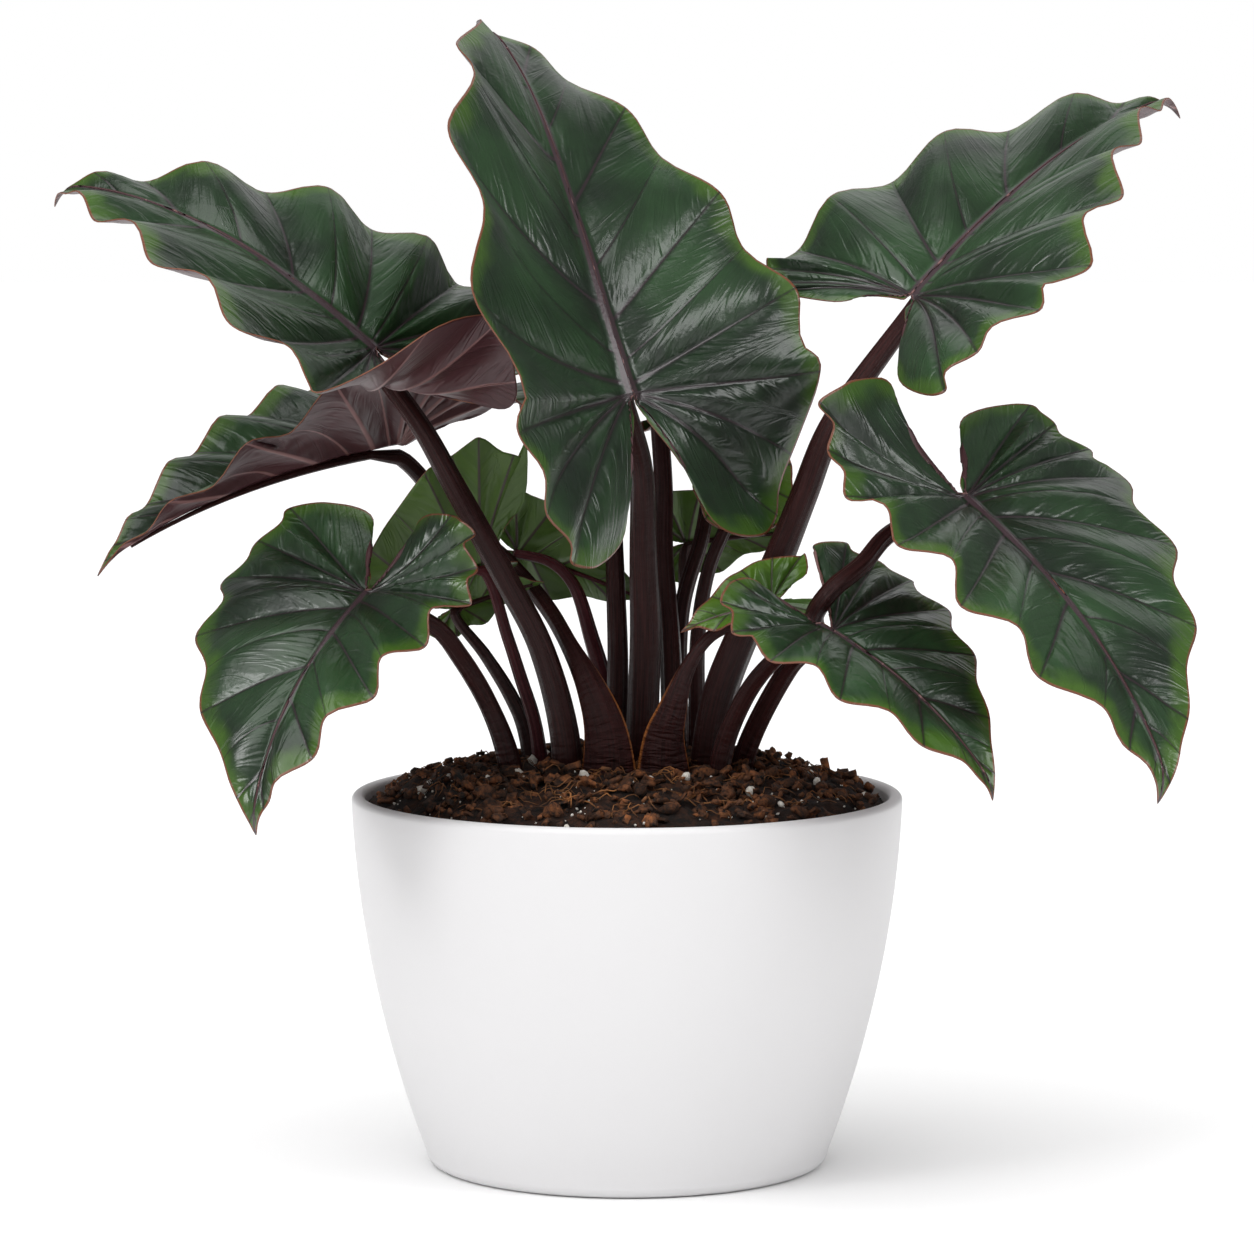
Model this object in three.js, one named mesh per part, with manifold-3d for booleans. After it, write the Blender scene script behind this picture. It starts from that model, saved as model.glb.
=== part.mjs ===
// Potted dark star alocasia: a white tapering pot, a mound of soil and a clump of arrow-shaped leaves.
// Millimetres, +Z up. The front faces -Y, and the origin is the centre of the pot's flat base.
import * as THREE from 'three';
import Module from 'manifold-3d';

const wasm = await Module();
wasm.setup();

const GAP = 0.35; // between pieces that touch on the real plant
const rad = THREE.MathUtils.degToRad;
const clamp = THREE.MathUtils.clamp;
const smooth = (t) => THREE.MathUtils.smoothstep(t, 0, 1);
const mix = THREE.MathUtils.lerp;

// Materials

function finish(color, roughness) {
  return new THREE.MeshStandardMaterial({ color, roughness, metalness: 0 });
}
const POT_WHITE = finish('#f1f1ef', 0.45);
const SOIL_BROWN = finish('#3b2416', 0.95);
const LEAF_GREEN = finish('#1f3b26', 0.4);
const YOUNG_GREEN = finish('#3f5a26', 0.45);
const STEM_PURPLE = finish('#3a2730', 0.42);
const STEM_RED = finish('#4d1f25', 0.42);

// Pot: its outer wall is a parabola, upright near the lip

const POT_HEIGHT = 163;
const POT_RIM_RADIUS = 120.7;
const POT_TAPER = 34.5; // how much narrower the wall is at the floor
const POT_TAPER_HEIGHT = 180; // where the parabola of the wall would stand upright
const POT_WALL = 6;
const POT_FLOOR = 7;
const POT_FOOT_ROUND = 6;
const POT_SEGMENTS = 40;

function potRadius(z) {
  return POT_RIM_RADIUS - POT_TAPER * ((POT_TAPER_HEIGHT - z) / POT_TAPER_HEIGHT) ** 2;
}

function potGeometry() {
  const profile = [new THREE.Vector2(0, 0)];
  const foot = potRadius(POT_FOOT_ROUND);
  for (let k = 0; k <= 3; k++) {
    const turn = rad(90 * (k / 3));
    const r = foot - POT_FOOT_ROUND * (1 - Math.sin(turn));
    profile.push(new THREE.Vector2(r, POT_FOOT_ROUND * (1 - Math.cos(turn))));
  }
  const lip = POT_WALL / 2;
  const lipCentre = POT_HEIGHT - lip;
  const rows = 6;
  for (let k = 1; k <= rows; k++) {
    const z = mix(POT_FOOT_ROUND, lipCentre, k / rows);
    profile.push(new THREE.Vector2(potRadius(z), z));
  }
  const middle = potRadius(lipCentre) - lip;
  for (let k = 1; k <= 4; k++) {
    const turn = rad(180 * (k / 4));
    profile.push(new THREE.Vector2(middle + lip * Math.cos(turn), lipCentre + lip * Math.sin(turn)));
  }
  for (let k = 1; k <= rows; k++) {
    const z = mix(lipCentre, POT_FLOOR, k / rows);
    profile.push(new THREE.Vector2(potRadius(z) - POT_WALL, z));
  }
  profile.push(new THREE.Vector2(0, POT_FLOOR));
  return new THREE.LatheGeometry(profile, POT_SEGMENTS).rotateX(Math.PI / 2);
}

// Closed solids from points and faces

function closedGeometry(points, faces) {
  const geometry = new THREE.BufferGeometry();
  geometry.setAttribute('position', new THREE.Float32BufferAttribute(points.flatMap((p) => p.toArray()), 3));
  geometry.setIndex(faces);
  geometry.computeVertexNormals();
  return geometry;
}

// Leaf blade

// One half of the flat blade: x over its length in front of the joint or over its lobe behind it,
// y over its half width. It goes from the tip along the margin to the lobe.
const MARGIN = [
  [1, 0], [0.93, 0.055], [0.8, 0.21], [0.6, 0.47], [0.4, 0.71],
  [0.2, 0.9], [0, 1], [-0.3, 0.99], [-0.62, 0.86],
];
const LOBE_TIP_STATION = 10;
const LAST_STATION = 13; // the margin comes back almost to the joint here
const ROOT_SHIFT = 0.3; // side veins leave the midrib this far behind where they end
const BLADE_THICKNESS = 0.9;
const SPINE_SAMPLES = 160;

// A half's tipFill widens the margin behind the tip by that share of each point's weight here.
const TIP_FILL_WEIGHTS = [0, 1, 1, 0.8, 0.4];

// A lobe's inner margin comes back from its tip to the joint, or further out on a half that is open.
function marginPoints(half) {
  const { lobeTip: y, lobeRound: round = 0.5, tipFill = 0, open } = half;
  const outer = MARGIN.map(([px, py], k) => [px, py * (1 + tipFill * (TIP_FILL_WEIGHTS[k] ?? 0))]);
  const inner = open
    ? [[-0.82, 0.86 * y], [-0.42, 0.52 * y], [-0.05, 0.2 * y]]
    : [[-0.86 - 0.07 * round, y * (0.62 - 0.22 * round)], [-0.5, 0.29 * y], [-0.18, 0.035]];
  return [...outer, [-0.88, 0.62 + 0.16 * round + 0.25 * (y - 0.45)], [-1, y], ...inner, [0, 0]];
}

// A point of the flat margin in millimetres, station 0 at the tip.
function marginAt(leaf, half, station) {
  const p = marginPoints(half);
  const k = Math.min(Math.floor(station), p.length - 2);
  const u = station - k;
  const before = k > 0 ? p[k - 1] : p[0].map((c, i) => 2 * c - p[1][i]);
  const after = k + 2 < p.length ? p[k + 2] : p[k + 1].map((c, i) => 2 * c - p[k][i]);
  const [x, y] = [0, 1].map((i) => {
    const [a, b, c, d] = [before[i], p[k][i], p[k + 1][i], after[i]];
    const square = (2 * a - 5 * b + 4 * c - d) * u ** 2;
    const cube = (3 * b - a - 3 * c + d) * u ** 3;
    return (2 * b + (c - a) * u + square + cube) / 2;
  });
  return [x > 0 ? x * leaf.length : x * half.lobe * leaf.length, Math.max(y, 0) * half.width];
}

// The midrib bent in space, with its tangent, side and normal, and the axis of one lobe behind the joint.
function makeSpine(leaf, half) {
  const [h, p, r] = [leaf.heading, leaf.pitch, leaf.roll].map(rad);
  const forward = new THREE.Vector3(Math.cos(h) * Math.cos(p), Math.sin(h) * Math.cos(p), Math.sin(p));
  const level = new THREE.Vector3(-Math.sin(h), Math.cos(h), 0);
  const up = new THREE.Vector3().crossVectors(forward, level);
  const left = level.clone().multiplyScalar(Math.cos(r)).addScaledVector(up, Math.sin(r));
  const top = up.clone().multiplyScalar(Math.cos(r)).addScaledVector(level, -Math.sin(r));
  const back = half.lobe * leaf.length;
  const step = (leaf.length + back) / SPINE_SAMPLES;
  const samples = [];
  const place = new THREE.Vector3();
  for (let i = 0; i <= SPINE_SAMPLES; i++) {
    const x = -back + i * step;
    const u = clamp(x / leaf.length, 0, 1);
    const v = clamp(-x / back, 0, 1);
    const droop = rad(leaf.curl * u ** 1.3 + leaf.hook * smooth((u - 0.86) / 0.14) - half.lobeDroop * v);
    const swing = rad(leaf.sweep) * u;
    const tangent = forward.clone().multiplyScalar(Math.cos(swing)).addScaledVector(left, Math.sin(swing));
    const side = left.clone().multiplyScalar(Math.cos(swing)).addScaledVector(forward, -Math.sin(swing));
    tangent.multiplyScalar(Math.cos(droop)).addScaledVector(top, -Math.sin(droop));
    if (i > 0) place.addScaledVector(samples[i - 1].tangent, step / 2).addScaledVector(tangent, step / 2);
    const normal = new THREE.Vector3().crossVectors(tangent, side);
    samples.push({ place: place.clone(), tangent, side, normal });
  }
  const at = (x) => {
    const f = clamp((x + back) / step, 0, SPINE_SAMPLES - 1e-6);
    const k = Math.floor(f);
    const out = {};
    for (const key of ['place', 'tangent', 'side', 'normal']) {
      out[key] = samples[k][key].clone().lerp(samples[k + 1][key], f - k);
    }
    return out;
  };
  const joint = at(0).place;
  for (const s of samples) s.place.sub(joint).add(new THREE.Vector3(...leaf.joint));
  return { at, back };
}

// A flat point at x along the leaf and y out from the midrib, bent in space and lifted along the normal.
function bladePoint(leaf, half, side, spine, x, y, lift) {
  const s = spine.at(x);
  const fold = rad(mix(half.fold, half.lobeFold, smooth(Math.min(1, 1.2 * clamp(-x / spine.back, 0, 1)))));
  const arch = rad(Math.abs(half.arch) < 0.1 ? 0.1 : half.arch);
  const turn = fold - (arch * y) / half.width;
  const out = (half.width / arch) * (Math.sin(fold) - Math.sin(turn));
  const rise = (half.width / arch) * (Math.cos(turn) - Math.cos(fold));
  const normal = s.normal.clone().multiplyScalar(Math.cos(turn));
  normal.addScaledVector(s.side, -side * Math.sin(turn));
  const point = s.place.addScaledVector(s.side, side * out).addScaledVector(s.normal, rise);
  return { point: point.addScaledVector(normal, lift), normal };
}

// Waves of the blade: the margin swings out at the end of each side vein, and the blade puffs up
// between the veins.
function waveAt(leaf, half, station, t) {
  const along = station / LOBE_TIP_STATION;
  const fade = smooth(station / 1.6) * smooth((LOBE_TIP_STATION + 0.6 - station) / 1.8);
  const beat = Math.cos(2 * Math.PI * ((half.waves ?? leaf.waves) * along - half.wavePhase));
  return {
    lift: fade * (-leaf.waveHeight * t ** 2.2 * beat + leaf.puff * 4 * t * (1 - t) * (0.5 - 0.5 * beat)),
    stretch: 1 + fade * leaf.scallop * t * t * beat,
  };
}

function bladeGeometry(leaf) {
  const { lines: outer, innerLines: inner } = leaf;
  const stations = [];
  for (let i = 0; i <= outer; i++) stations.push((LOBE_TIP_STATION * i) / outer);
  for (let i = 1; i <= inner; i++) stations.push(mix(LOBE_TIP_STATION, LAST_STATION, i / inner));
  const tops = [];
  const bottoms = [];
  const known = new Map();
  const halves = [[1, leaf.left], [-1, leaf.right]];
  const spines = halves.map(([, half]) => makeSpine(leaf, half));

  const rootAt = (i) => {
    const [endX] = marginAt(leaf, leaf.left, stations[i]);
    return clamp((endX / leaf.length - ROOT_SHIFT) / (1 - ROOT_SHIFT), 0, 1) * leaf.length;
  };
  const lastRoot = stations.findLastIndex((_, i) => rootAt(i) > 0);

  function vertex(h, i, j) {
    const [side, half] = halves[h];
    const [endX, endY] = marginAt(leaf, half, stations[i]);
    const rootLine = half.open ? Math.min(i, lastRoot) : i;
    const root = rootAt(rootLine);
    let key = `${h} ${i} ${j}`;
    if (i === 0) key = 'tip';
    else if (j === 0) key = root > 0 ? `rib ${rootLine}` : 'joint';
    if (known.has(key)) return known.get(key);
    const t = i === 0 ? 0 : j / leaf.steps;
    const x = i === 0 ? leaf.length : root + (endX - root) * t ** 1.15;
    const wave = waveAt(leaf, half, stations[i], t);
    const { point, normal } = bladePoint(leaf, half, side, spines[h], x, endY * t * wave.stretch, wave.lift);
    if (t === 0) normal.copy(spines[h].at(x).normal);
    known.set(key, tops.length);
    tops.push(point);
    bottoms.push(point.clone().addScaledVector(normal, -BLADE_THICKNESS));
    return known.get(key);
  }

  const faces = [];
  const rim = new Map();
  function face(a, b, c, side) {
    if (a === b || b === c || c === a) return;
    const turned = side > 0 ? [a, b, c] : [a, c, b];
    faces.push(turned);
    for (let k = 0; k < 3; k++) {
      const [p, q] = [turned[k], turned[(k + 1) % 3]];
      if (rim.has(`${q} ${p}`)) rim.delete(`${q} ${p}`);
      else rim.set(`${p} ${q}`, [p, q]);
    }
  }
  halves.forEach(([side], h) => {
    for (let i = 0; i + 1 < stations.length; i++) {
      for (let j = 0; j < leaf.steps; j++) {
        const [a, b] = [vertex(h, i, j), vertex(h, i, j + 1)];
        const [c, d] = [vertex(h, i + 1, j + 1), vertex(h, i + 1, j)];
        face(a, b, c, side);
        face(a, c, d, side);
      }
    }
  });
  const count = tops.length;
  const index = [];
  for (const [a, b, c] of faces) index.push(a, b, c, count + a, count + c, count + b);
  for (const [p, q] of rim.values()) index.push(q, p, count + q, p, count + p, count + q);
  return closedGeometry([...tops, ...bottoms], index);
}

// Stems: a tube from the soil up to the joint, then thin along the underside of the midrib

const STEM_SIDES = 7;
const STEM_ROWS = 11;
const RIB_ROWS = 5;
const RIB_REACH = 0.9;
const STEM_FOOT = 150; // the stems start below the soil's surface

// A closed tube through rings of { centre, across, deep }, where across is its half width along X.
function tubeGeometry(rings) {
  const points = [];
  const index = [];
  const last = rings.length - 1;
  const sideways = new THREE.Vector3(1, 0, 0);
  rings.forEach(({ centre, across, deep }, k) => {
    const ahead = rings[Math.min(k + 1, last)].centre;
    const tangent = ahead.clone().sub(rings[Math.max(k - 1, 0)].centre).normalize();
    sideways.addScaledVector(tangent, -sideways.dot(tangent)).normalize();
    const front = new THREE.Vector3().crossVectors(tangent, sideways);
    for (let s = 0; s < STEM_SIDES; s++) {
      const turn = (2 * Math.PI * s) / STEM_SIDES;
      points.push(centre.clone().addScaledVector(sideways, across * Math.cos(turn))
        .addScaledVector(front, deep * Math.sin(turn)));
    }
  });
  for (let k = 0; k < last; k++) {
    for (let s = 0; s < STEM_SIDES; s++) {
      const [a, b] = [k * STEM_SIDES + s, k * STEM_SIDES + ((s + 1) % STEM_SIDES)];
      index.push(a, b, b + STEM_SIDES, a, b + STEM_SIDES, a + STEM_SIDES);
    }
  }
  const [foot, end] = [points.length, points.length + 1];
  points.push(rings[0].centre.clone(), rings[last].centre.clone());
  for (let s = 0; s < STEM_SIDES; s++) {
    index.push(foot, (s + 1) % STEM_SIDES, s);
    index.push(end, last * STEM_SIDES + s, last * STEM_SIDES + ((s + 1) % STEM_SIDES));
  }
  return closedGeometry(points, index);
}

function stemRings(leaf) {
  const { foot, bends, radii: [low, middle, high], sheath } = leaf.stem;
  const spine = makeSpine(leaf, leaf.left);
  const ribRadius = (x) => mix(leaf.ribRadius, 0.7, clamp(x / (RIB_REACH * leaf.length), 0, 1));
  const under = (x, radius) => {
    const s = spine.at(x);
    return s.place.addScaledVector(s.normal, -(radius + BLADE_THICKNESS + GAP));
  };
  const rib = [];
  for (let k = 0; k <= RIB_ROWS; k++) {
    const x = mix(0.09, RIB_REACH, k / RIB_ROWS) * leaf.length;
    rib.push({ centre: under(x, ribRadius(x)), across: ribRadius(x), deep: ribRadius(x) });
  }
  const neck = under(0, high);
  const guides = [[...foot, STEM_FOOT], ...bends].map((p) => new THREE.Vector3(...p));
  const curve = new THREE.CatmullRomCurve3([...guides, neck, rib[0].centre], false, 'centripetal');
  const neckShare = 1 - neck.distanceTo(rib[0].centre) / curve.getLength();
  const rings = [];
  for (let k = 0; k < STEM_ROWS; k++) {
    const f = k / (STEM_ROWS - 1);
    const radius = f < 0.4 ? mix(low, middle, f / 0.4) : mix(middle, high, (f - 0.4) / 0.6);
    const wing = sheath ? smooth(clamp(1 - f / sheath.reach, 0, 1)) : 0;
    rings.push({
      centre: curve.getPointAt(f * neckShare),
      across: sheath ? mix(radius, sheath.width, wing) : radius,
      deep: radius,
    });
  }
  return [...rings, ...rib];
}

// The leaves, each with its joint at the top of its stem

const LARGE = {
  lines: 26, innerLines: 4, steps: 3,
  waves: 5.5, waveHeight: 4, puff: 2.8, scallop: 0.065, ribRadius: 2.4,
};
const SMALL = {
  lines: 15, innerLines: 3, steps: 3, young: true,
  waves: 5, waveHeight: 1.8, puff: 1.2, scallop: 0.05, ribRadius: 1.5,
};
const LEAVES = [
  {
    ...LARGE, name: 'centre', joint: [2, -38, 339], heading: 150, pitch: 69, roll: -16,
    length: 238, curl: 51, hook: 41, sweep: -40,
    left: {
      width: 112, lobe: 0.28, lobeTip: 0.5, fold: 7, arch: -28,
      lobeFold: 7, lobeDroop: 20, waves: 7.4, wavePhase: 0.91,
    },
    right: {
      width: 87, lobe: 0.3, lobeTip: 0.56, fold: 16, arch: -16,
      lobeFold: -11, lobeDroop: -9, waves: 8.1, wavePhase: 0.37,
    },
    stem: {
      foot: [6, -6],
      bends: [
        [7, -6, 197], [8, -6, 227], [7, -8, 267], [6, -14, 305],
      ],
      radii: [8, 7.2, 4.5],
    },
  },
  {
    ...LARGE, name: 'upper_left', joint: [-108, -30, 358], heading: 173, pitch: 42, roll: -35,
    length: 180, curl: 52, hook: 48, sweep: -3,
    left: {
      width: 90, lobe: 0.44, lobeTip: 0.44, fold: 9, arch: -33,
      lobeFold: 65, lobeDroop: -28, waves: 8, wavePhase: 0.96,
    },
    right: {
      width: 77, lobe: 0.45, lobeTip: 0.48, fold: 8, arch: 23,
      lobeFold: 27, lobeDroop: -60, waves: 7.6, wavePhase: 0.64,
    },
    stem: {
      foot: [-26, -24],
      bends: [
        [-27, -26, 190], [-37, -28, 229], [-52, -32, 259], [-74, -40, 300], [-87, -43, 324],
      ],
      radii: [7.5, 5.8, 4.5],
    },
  },
  {
    ...LARGE, name: 'left', joint: [-101, 36, 312], heading: 210, pitch: -8, roll: -1,
    length: 157, curl: 23, hook: 18, sweep: 2,
    left: {
      width: 67, lobe: 0.27, lobeTip: 0.49, fold: 47, arch: 9, tipFill: -0.5,
      lobeFold: 38, lobeDroop: 1, waves: 5.6, wavePhase: 0.36,
    },
    right: {
      width: 67, lobe: 0.34, lobeTip: 0.45, fold: 32, arch: 17,
      lobeFold: 32, lobeDroop: 7, waves: 6.7, wavePhase: 0.12,
    },
    stem: {
      foot: [-8, -37],
      bends: [
        [-9, -36, 192], [-15, -32, 211], [-25, -18, 229], [-35, 6, 243], [-54, 33, 262],
        [-76, 42, 280],
      ],
      radii: [5, 4.2, 4],
      sheath: { width: 14, reach: 0.42 },
    },
  },
  {
    ...LARGE, name: 'lower_left', joint: [-110, -70, 257], heading: 230, pitch: -33, roll: 0,
    length: 124, curl: 45, hook: 25, sweep: 2,
    left: {
      width: 54, lobe: 0.33, lobeTip: 0.51, fold: 7, arch: 14, tipFill: 0.26,
      lobeFold: 14, lobeDroop: -37, waves: 8.1, wavePhase: -0.02, lobeRound: 1,
    },
    right: {
      width: 79, lobe: 0.34, lobeTip: 0.54, fold: 13, arch: 23, tipFill: 0.07,
      lobeFold: 17, lobeDroop: -32, waves: 6.5, wavePhase: 0.93, lobeRound: 0.9,
    },
    stem: {
      foot: [-46, -22],
      bends: [
        [-52, -23, 184], [-60, -27, 205], [-71, -36, 225], [-82, -48, 240],
      ],
      radii: [6.5, 4.6, 3.8],
    },
  },
  {
    ...LARGE, name: 'upper_right', joint: [124, 10, 379], heading: 42, pitch: 38, roll: 7,
    length: 207, curl: 29, hook: 47, sweep: 2,
    left: {
      width: 79, lobe: 0.08, lobeTip: 0.75, fold: 21, arch: 29,
      lobeFold: 25, lobeDroop: 22, waves: 7.3, wavePhase: 0.19,
    },
    right: {
      width: 93, lobe: 0.25, lobeTip: 0.68, fold: 18, arch: 10, tipFill: -0.16,
      lobeFold: 25, lobeDroop: 33, waves: 7.9, wavePhase: 0.46,
    },
    stem: {
      foot: [33, -14],
      bends: [
        [39, -15, 203], [49, -15, 231], [61, -14, 259], [75, -10, 293], [89, -6, 324],
      ],
      radii: [9, 7.4, 4.5],
    },
  },
  {
    ...LARGE, name: 'right', joint: [144, -50, 296], heading: -42, pitch: -32, roll: 2,
    length: 175, curl: 24, hook: 54, sweep: -15,
    left: {
      width: 91, lobe: 0.24, lobeTip: 0.6, fold: 16, arch: 22,
      lobeFold: 15, lobeDroop: -42, waves: 8, wavePhase: 0.63, lobeRound: 0.9,
    },
    right: {
      width: 67, lobe: 0.35, lobeTip: 0.54, fold: 1, arch: -2, tipFill: 0.48,
      lobeFold: -2, lobeDroop: -56, waves: 8.1, wavePhase: 0.28, lobeRound: 1.2,
    },
    stem: {
      foot: [48, -14],
      bends: [
        [51, -16, 180], [70, -37, 222], [79, -54, 233], [80, -65, 240], [79, -71, 247], [86, -75, 258],
        [99, -68, 268], [112, -58, 281],
      ],
      radii: [5.5, 4.6, 4],
    },
  },
  {
    ...LARGE, name: 'lower_right', joint: [82, -79, 244], heading: -40, pitch: -22, roll: 12,
    length: 113, curl: 34, hook: 34, sweep: -1,
    left: {
      width: 58, lobe: 0.35, lobeTip: 0.61, fold: 14, arch: 22,
      lobeFold: 19, lobeDroop: -8, waves: 7.8, wavePhase: -0.09, lobeRound: 1, open: true,
    },
    right: {
      width: 46, lobe: 0.32, lobeTip: 0.48, fold: 14, arch: 15, tipFill: 0.36,
      lobeFold: 16, lobeDroop: -25, waves: 6.6, wavePhase: 0.62, lobeRound: 0.8,
    },
    stem: {
      foot: [38, -29],
      bends: [
        [41, -31, 184], [51, -42, 210], [62, -56, 226], [72, -69, 235],
      ],
      radii: [5.5, 4.6, 3.4],
    },
    waveHeight: 2.4, puff: 1.6,
  },
  {
    ...SMALL, name: 'back_left', joint: [-63, -8, 263], heading: 195, pitch: -8, roll: 45,
    length: 66, curl: 15, hook: 10, sweep: 0,
    left: {
      width: 57, lobe: 0.37, lobeTip: 0.93, fold: 35, arch: 10,
      lobeFold: 35, lobeDroop: 0, wavePhase: 0.2, lobeRound: 0.5,
    },
    right: {
      width: 32, lobe: 0.3, lobeTip: 0.6, fold: 35, arch: 10,
      lobeFold: 35, lobeDroop: 0, wavePhase: 0.6,
    },
    stem: {
      foot: [-35, -9],
      bends: [
        [-40, -8, 193], [-46, -8, 213], [-52, -8, 232],
      ],
      radii: [4.5, 3.4, 2.6],
    },
    red: true,
  },
  {
    ...SMALL, name: 'back_centre', joint: [-49, 40, 265], heading: -5, pitch: -18, roll: -75,
    length: 66, curl: 15, hook: 10, sweep: 0,
    left: {
      width: 20, lobe: 0.3, lobeTip: 0.6, fold: 10, arch: 10,
      lobeFold: 10, lobeDroop: 0, wavePhase: 0.2,
    },
    right: {
      width: 27, lobe: 0.35, lobeTip: 0.6, fold: 10, arch: 10,
      lobeFold: 10, lobeDroop: 0, wavePhase: 0.6,
    },
    stem: {
      foot: [-8, 18],
      bends: [
        [-9, 16, 201], [-16, 20, 229], [-24, 25, 252], [-34, 30, 261],
      ],
      radii: [5, 4.2, 2.4],
    },
    red: true,
  },
  {
    ...SMALL, name: 'back_right', joint: [26, 62, 267], heading: 5, pitch: 8, roll: -65,
    length: 54, curl: 15, hook: 10, sweep: 0,
    left: {
      width: 20, lobe: 0.4, lobeTip: 0.6, fold: 10, arch: 10,
      lobeFold: 10, lobeDroop: 0, wavePhase: 0.3,
    },
    right: {
      width: 26, lobe: 0.4, lobeTip: 0.6, fold: 10, arch: 10,
      lobeFold: 10, lobeDroop: 0, wavePhase: 0.6,
    },
    stem: {
      foot: [15, 30],
      bends: [
        [22, 40, 210], [25, 51, 240],
      ],
      radii: [3.8, 3, 2.4],
    },
  },
  {
    ...SMALL, name: 'small_right', joint: [62, -48, 251], heading: 192, pitch: -12, roll: -35,
    length: 42, curl: 15, hook: 10, sweep: 0,
    left: {
      width: 17, lobe: 0.45, lobeTip: 0.6, fold: 10, arch: 10,
      lobeFold: 10, lobeDroop: 0, wavePhase: 0.3,
    },
    right: {
      width: 24, lobe: 0.5, lobeTip: 0.8, fold: 10, arch: 10,
      lobeFold: 20, lobeDroop: 0, wavePhase: 0.6,
    },
    stem: {
      foot: [17, -33],
      bends: [
        [16, -36, 190], [19, -39, 202], [26, -43, 222], [36, -46, 236],
      ],
      radii: [5, 3.6, 2.4],
      sheath: { width: 14, reach: 0.7 },
    },
  },
  {
    ...SMALL, name: 'small_left', joint: [-76, 5, 243], heading: 3, pitch: 20, roll: -60,
    length: 42, curl: 15, hook: 10, sweep: 0,
    left: {
      width: 15, lobe: 0.35, lobeTip: 0.6, fold: 10, arch: 10,
      lobeFold: 10, lobeDroop: 0, wavePhase: 0.3,
    },
    right: {
      width: 17, lobe: 0.35, lobeTip: 0.6, fold: 10, arch: 10,
      lobeFold: 10, lobeDroop: 0, wavePhase: 0.6,
    },
    stem: {
      foot: [-39, 6],
      bends: [
        [-45, 8, 190], [-51, 9, 204], [-62, 8, 222],
      ],
      radii: [4.5, 3.7, 2.4],
    },
  },
  {
    ...LARGE, lines: 22, name: 'rear_left', joint: [-9, 66, 331], heading: 108, pitch: 0, roll: 0,
    length: 112, curl: 35, hook: 15, sweep: 0,
    left: {
      width: 48, lobe: 0.3, lobeTip: 0.45, fold: 14, arch: 25,
      lobeFold: 14, lobeDroop: 10, wavePhase: 0.2,
    },
    right: {
      width: 48, lobe: 0.3, lobeTip: 0.45, fold: 14, arch: 25,
      lobeFold: 14, lobeDroop: 10, wavePhase: 0.6,
    },
    stem: {
      foot: [-8, 4],
      bends: [
        [-4, 7, 211], [-5, 15, 255], [-7, 40, 300],
      ],
      radii: [5.5, 4.7, 3.8],
    },
  },
  {
    ...LARGE, lines: 22, name: 'rear', joint: [9, 46, 372], heading: 88, pitch: 12, roll: 0,
    length: 140, curl: 40, hook: 15, sweep: 0,
    left: {
      width: 52, lobe: 0.32, lobeTip: 0.45, fold: 14, arch: 25,
      lobeFold: 14, lobeDroop: 10, wavePhase: 0.4,
    },
    right: {
      width: 52, lobe: 0.32, lobeTip: 0.45, fold: 14, arch: 25,
      lobeFold: 14, lobeDroop: 10, wavePhase: 0.8,
    },
    stem: {
      foot: [20, 6],
      bends: [
        [19, 8, 221], [16, 15, 266], [16, 22, 296], [13, 34, 334],
      ],
      radii: [5.5, 4.9, 4],
    },
  },
  {
    ...LARGE, lines: 22, name: 'rear_right', joint: [42, 74, 318], heading: 80, pitch: 0, roll: 0,
    length: 104, curl: 35, hook: 15, sweep: 0,
    left: {
      width: 36, lobe: 0.26, lobeTip: 0.45, fold: 14, arch: 25,
      lobeFold: 14, lobeDroop: 10, wavePhase: 0.3,
    },
    right: {
      width: 34, lobe: 0.26, lobeTip: 0.45, fold: 14, arch: 25,
      lobeFold: 14, lobeDroop: 10, wavePhase: 0.7,
    },
    stem: {
      foot: [24, 20],
      bends: [
        [24, 21, 240], [33, 31, 272], [37, 46, 294],
      ],
      radii: [5, 4, 3.6],
    },
  },
  {
    ...SMALL, name: 'rear_small', joint: [51, 24, 298], heading: 92, pitch: 60, roll: 0,
    length: 60, curl: 18, hook: 10, sweep: 0,
    left: {
      width: 22, lobe: 0.4, lobeTip: 0.45, fold: 14, arch: 20,
      lobeFold: 14, lobeDroop: 10, wavePhase: 0.3,
    },
    right: {
      width: 22, lobe: 0.4, lobeTip: 0.45, fold: 14, arch: 20,
      lobeFold: 14, lobeDroop: 10, wavePhase: 0.7,
    },
    stem: {
      foot: [32, 6],
      bends: [
        [31, 8, 230], [36, 12, 260], [44, 17, 279],
      ],
      radii: [5, 3.9, 3],
    },
  },
];

// Soil: a lumpy mound that fills the pot, with a hole for each stem

const SOIL_EDGE = 157;
const SOIL_CROWN = 19;
const SOIL_RINGS = 10;
const SOIL_SEGMENTS = 32;

function soilTop(x, y) {
  const r = Math.hypot(x, y);
  const share = clamp(r / (POT_RIM_RADIUS - POT_WALL), 0, 1);
  const lumps = 1.5 * Math.sin(0.19 * x + 1.3) * Math.sin(0.17 * y + 0.4)
    + 1.1 * Math.sin(0.33 * x - 0.21 * y) + 0.9 * Math.sin(0.12 * x + 0.37 * y + 2);
  return SOIL_EDGE + SOIL_CROWN * (1 - share ** 2) + lumps * (1 - 0.5 * share);
}

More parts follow.
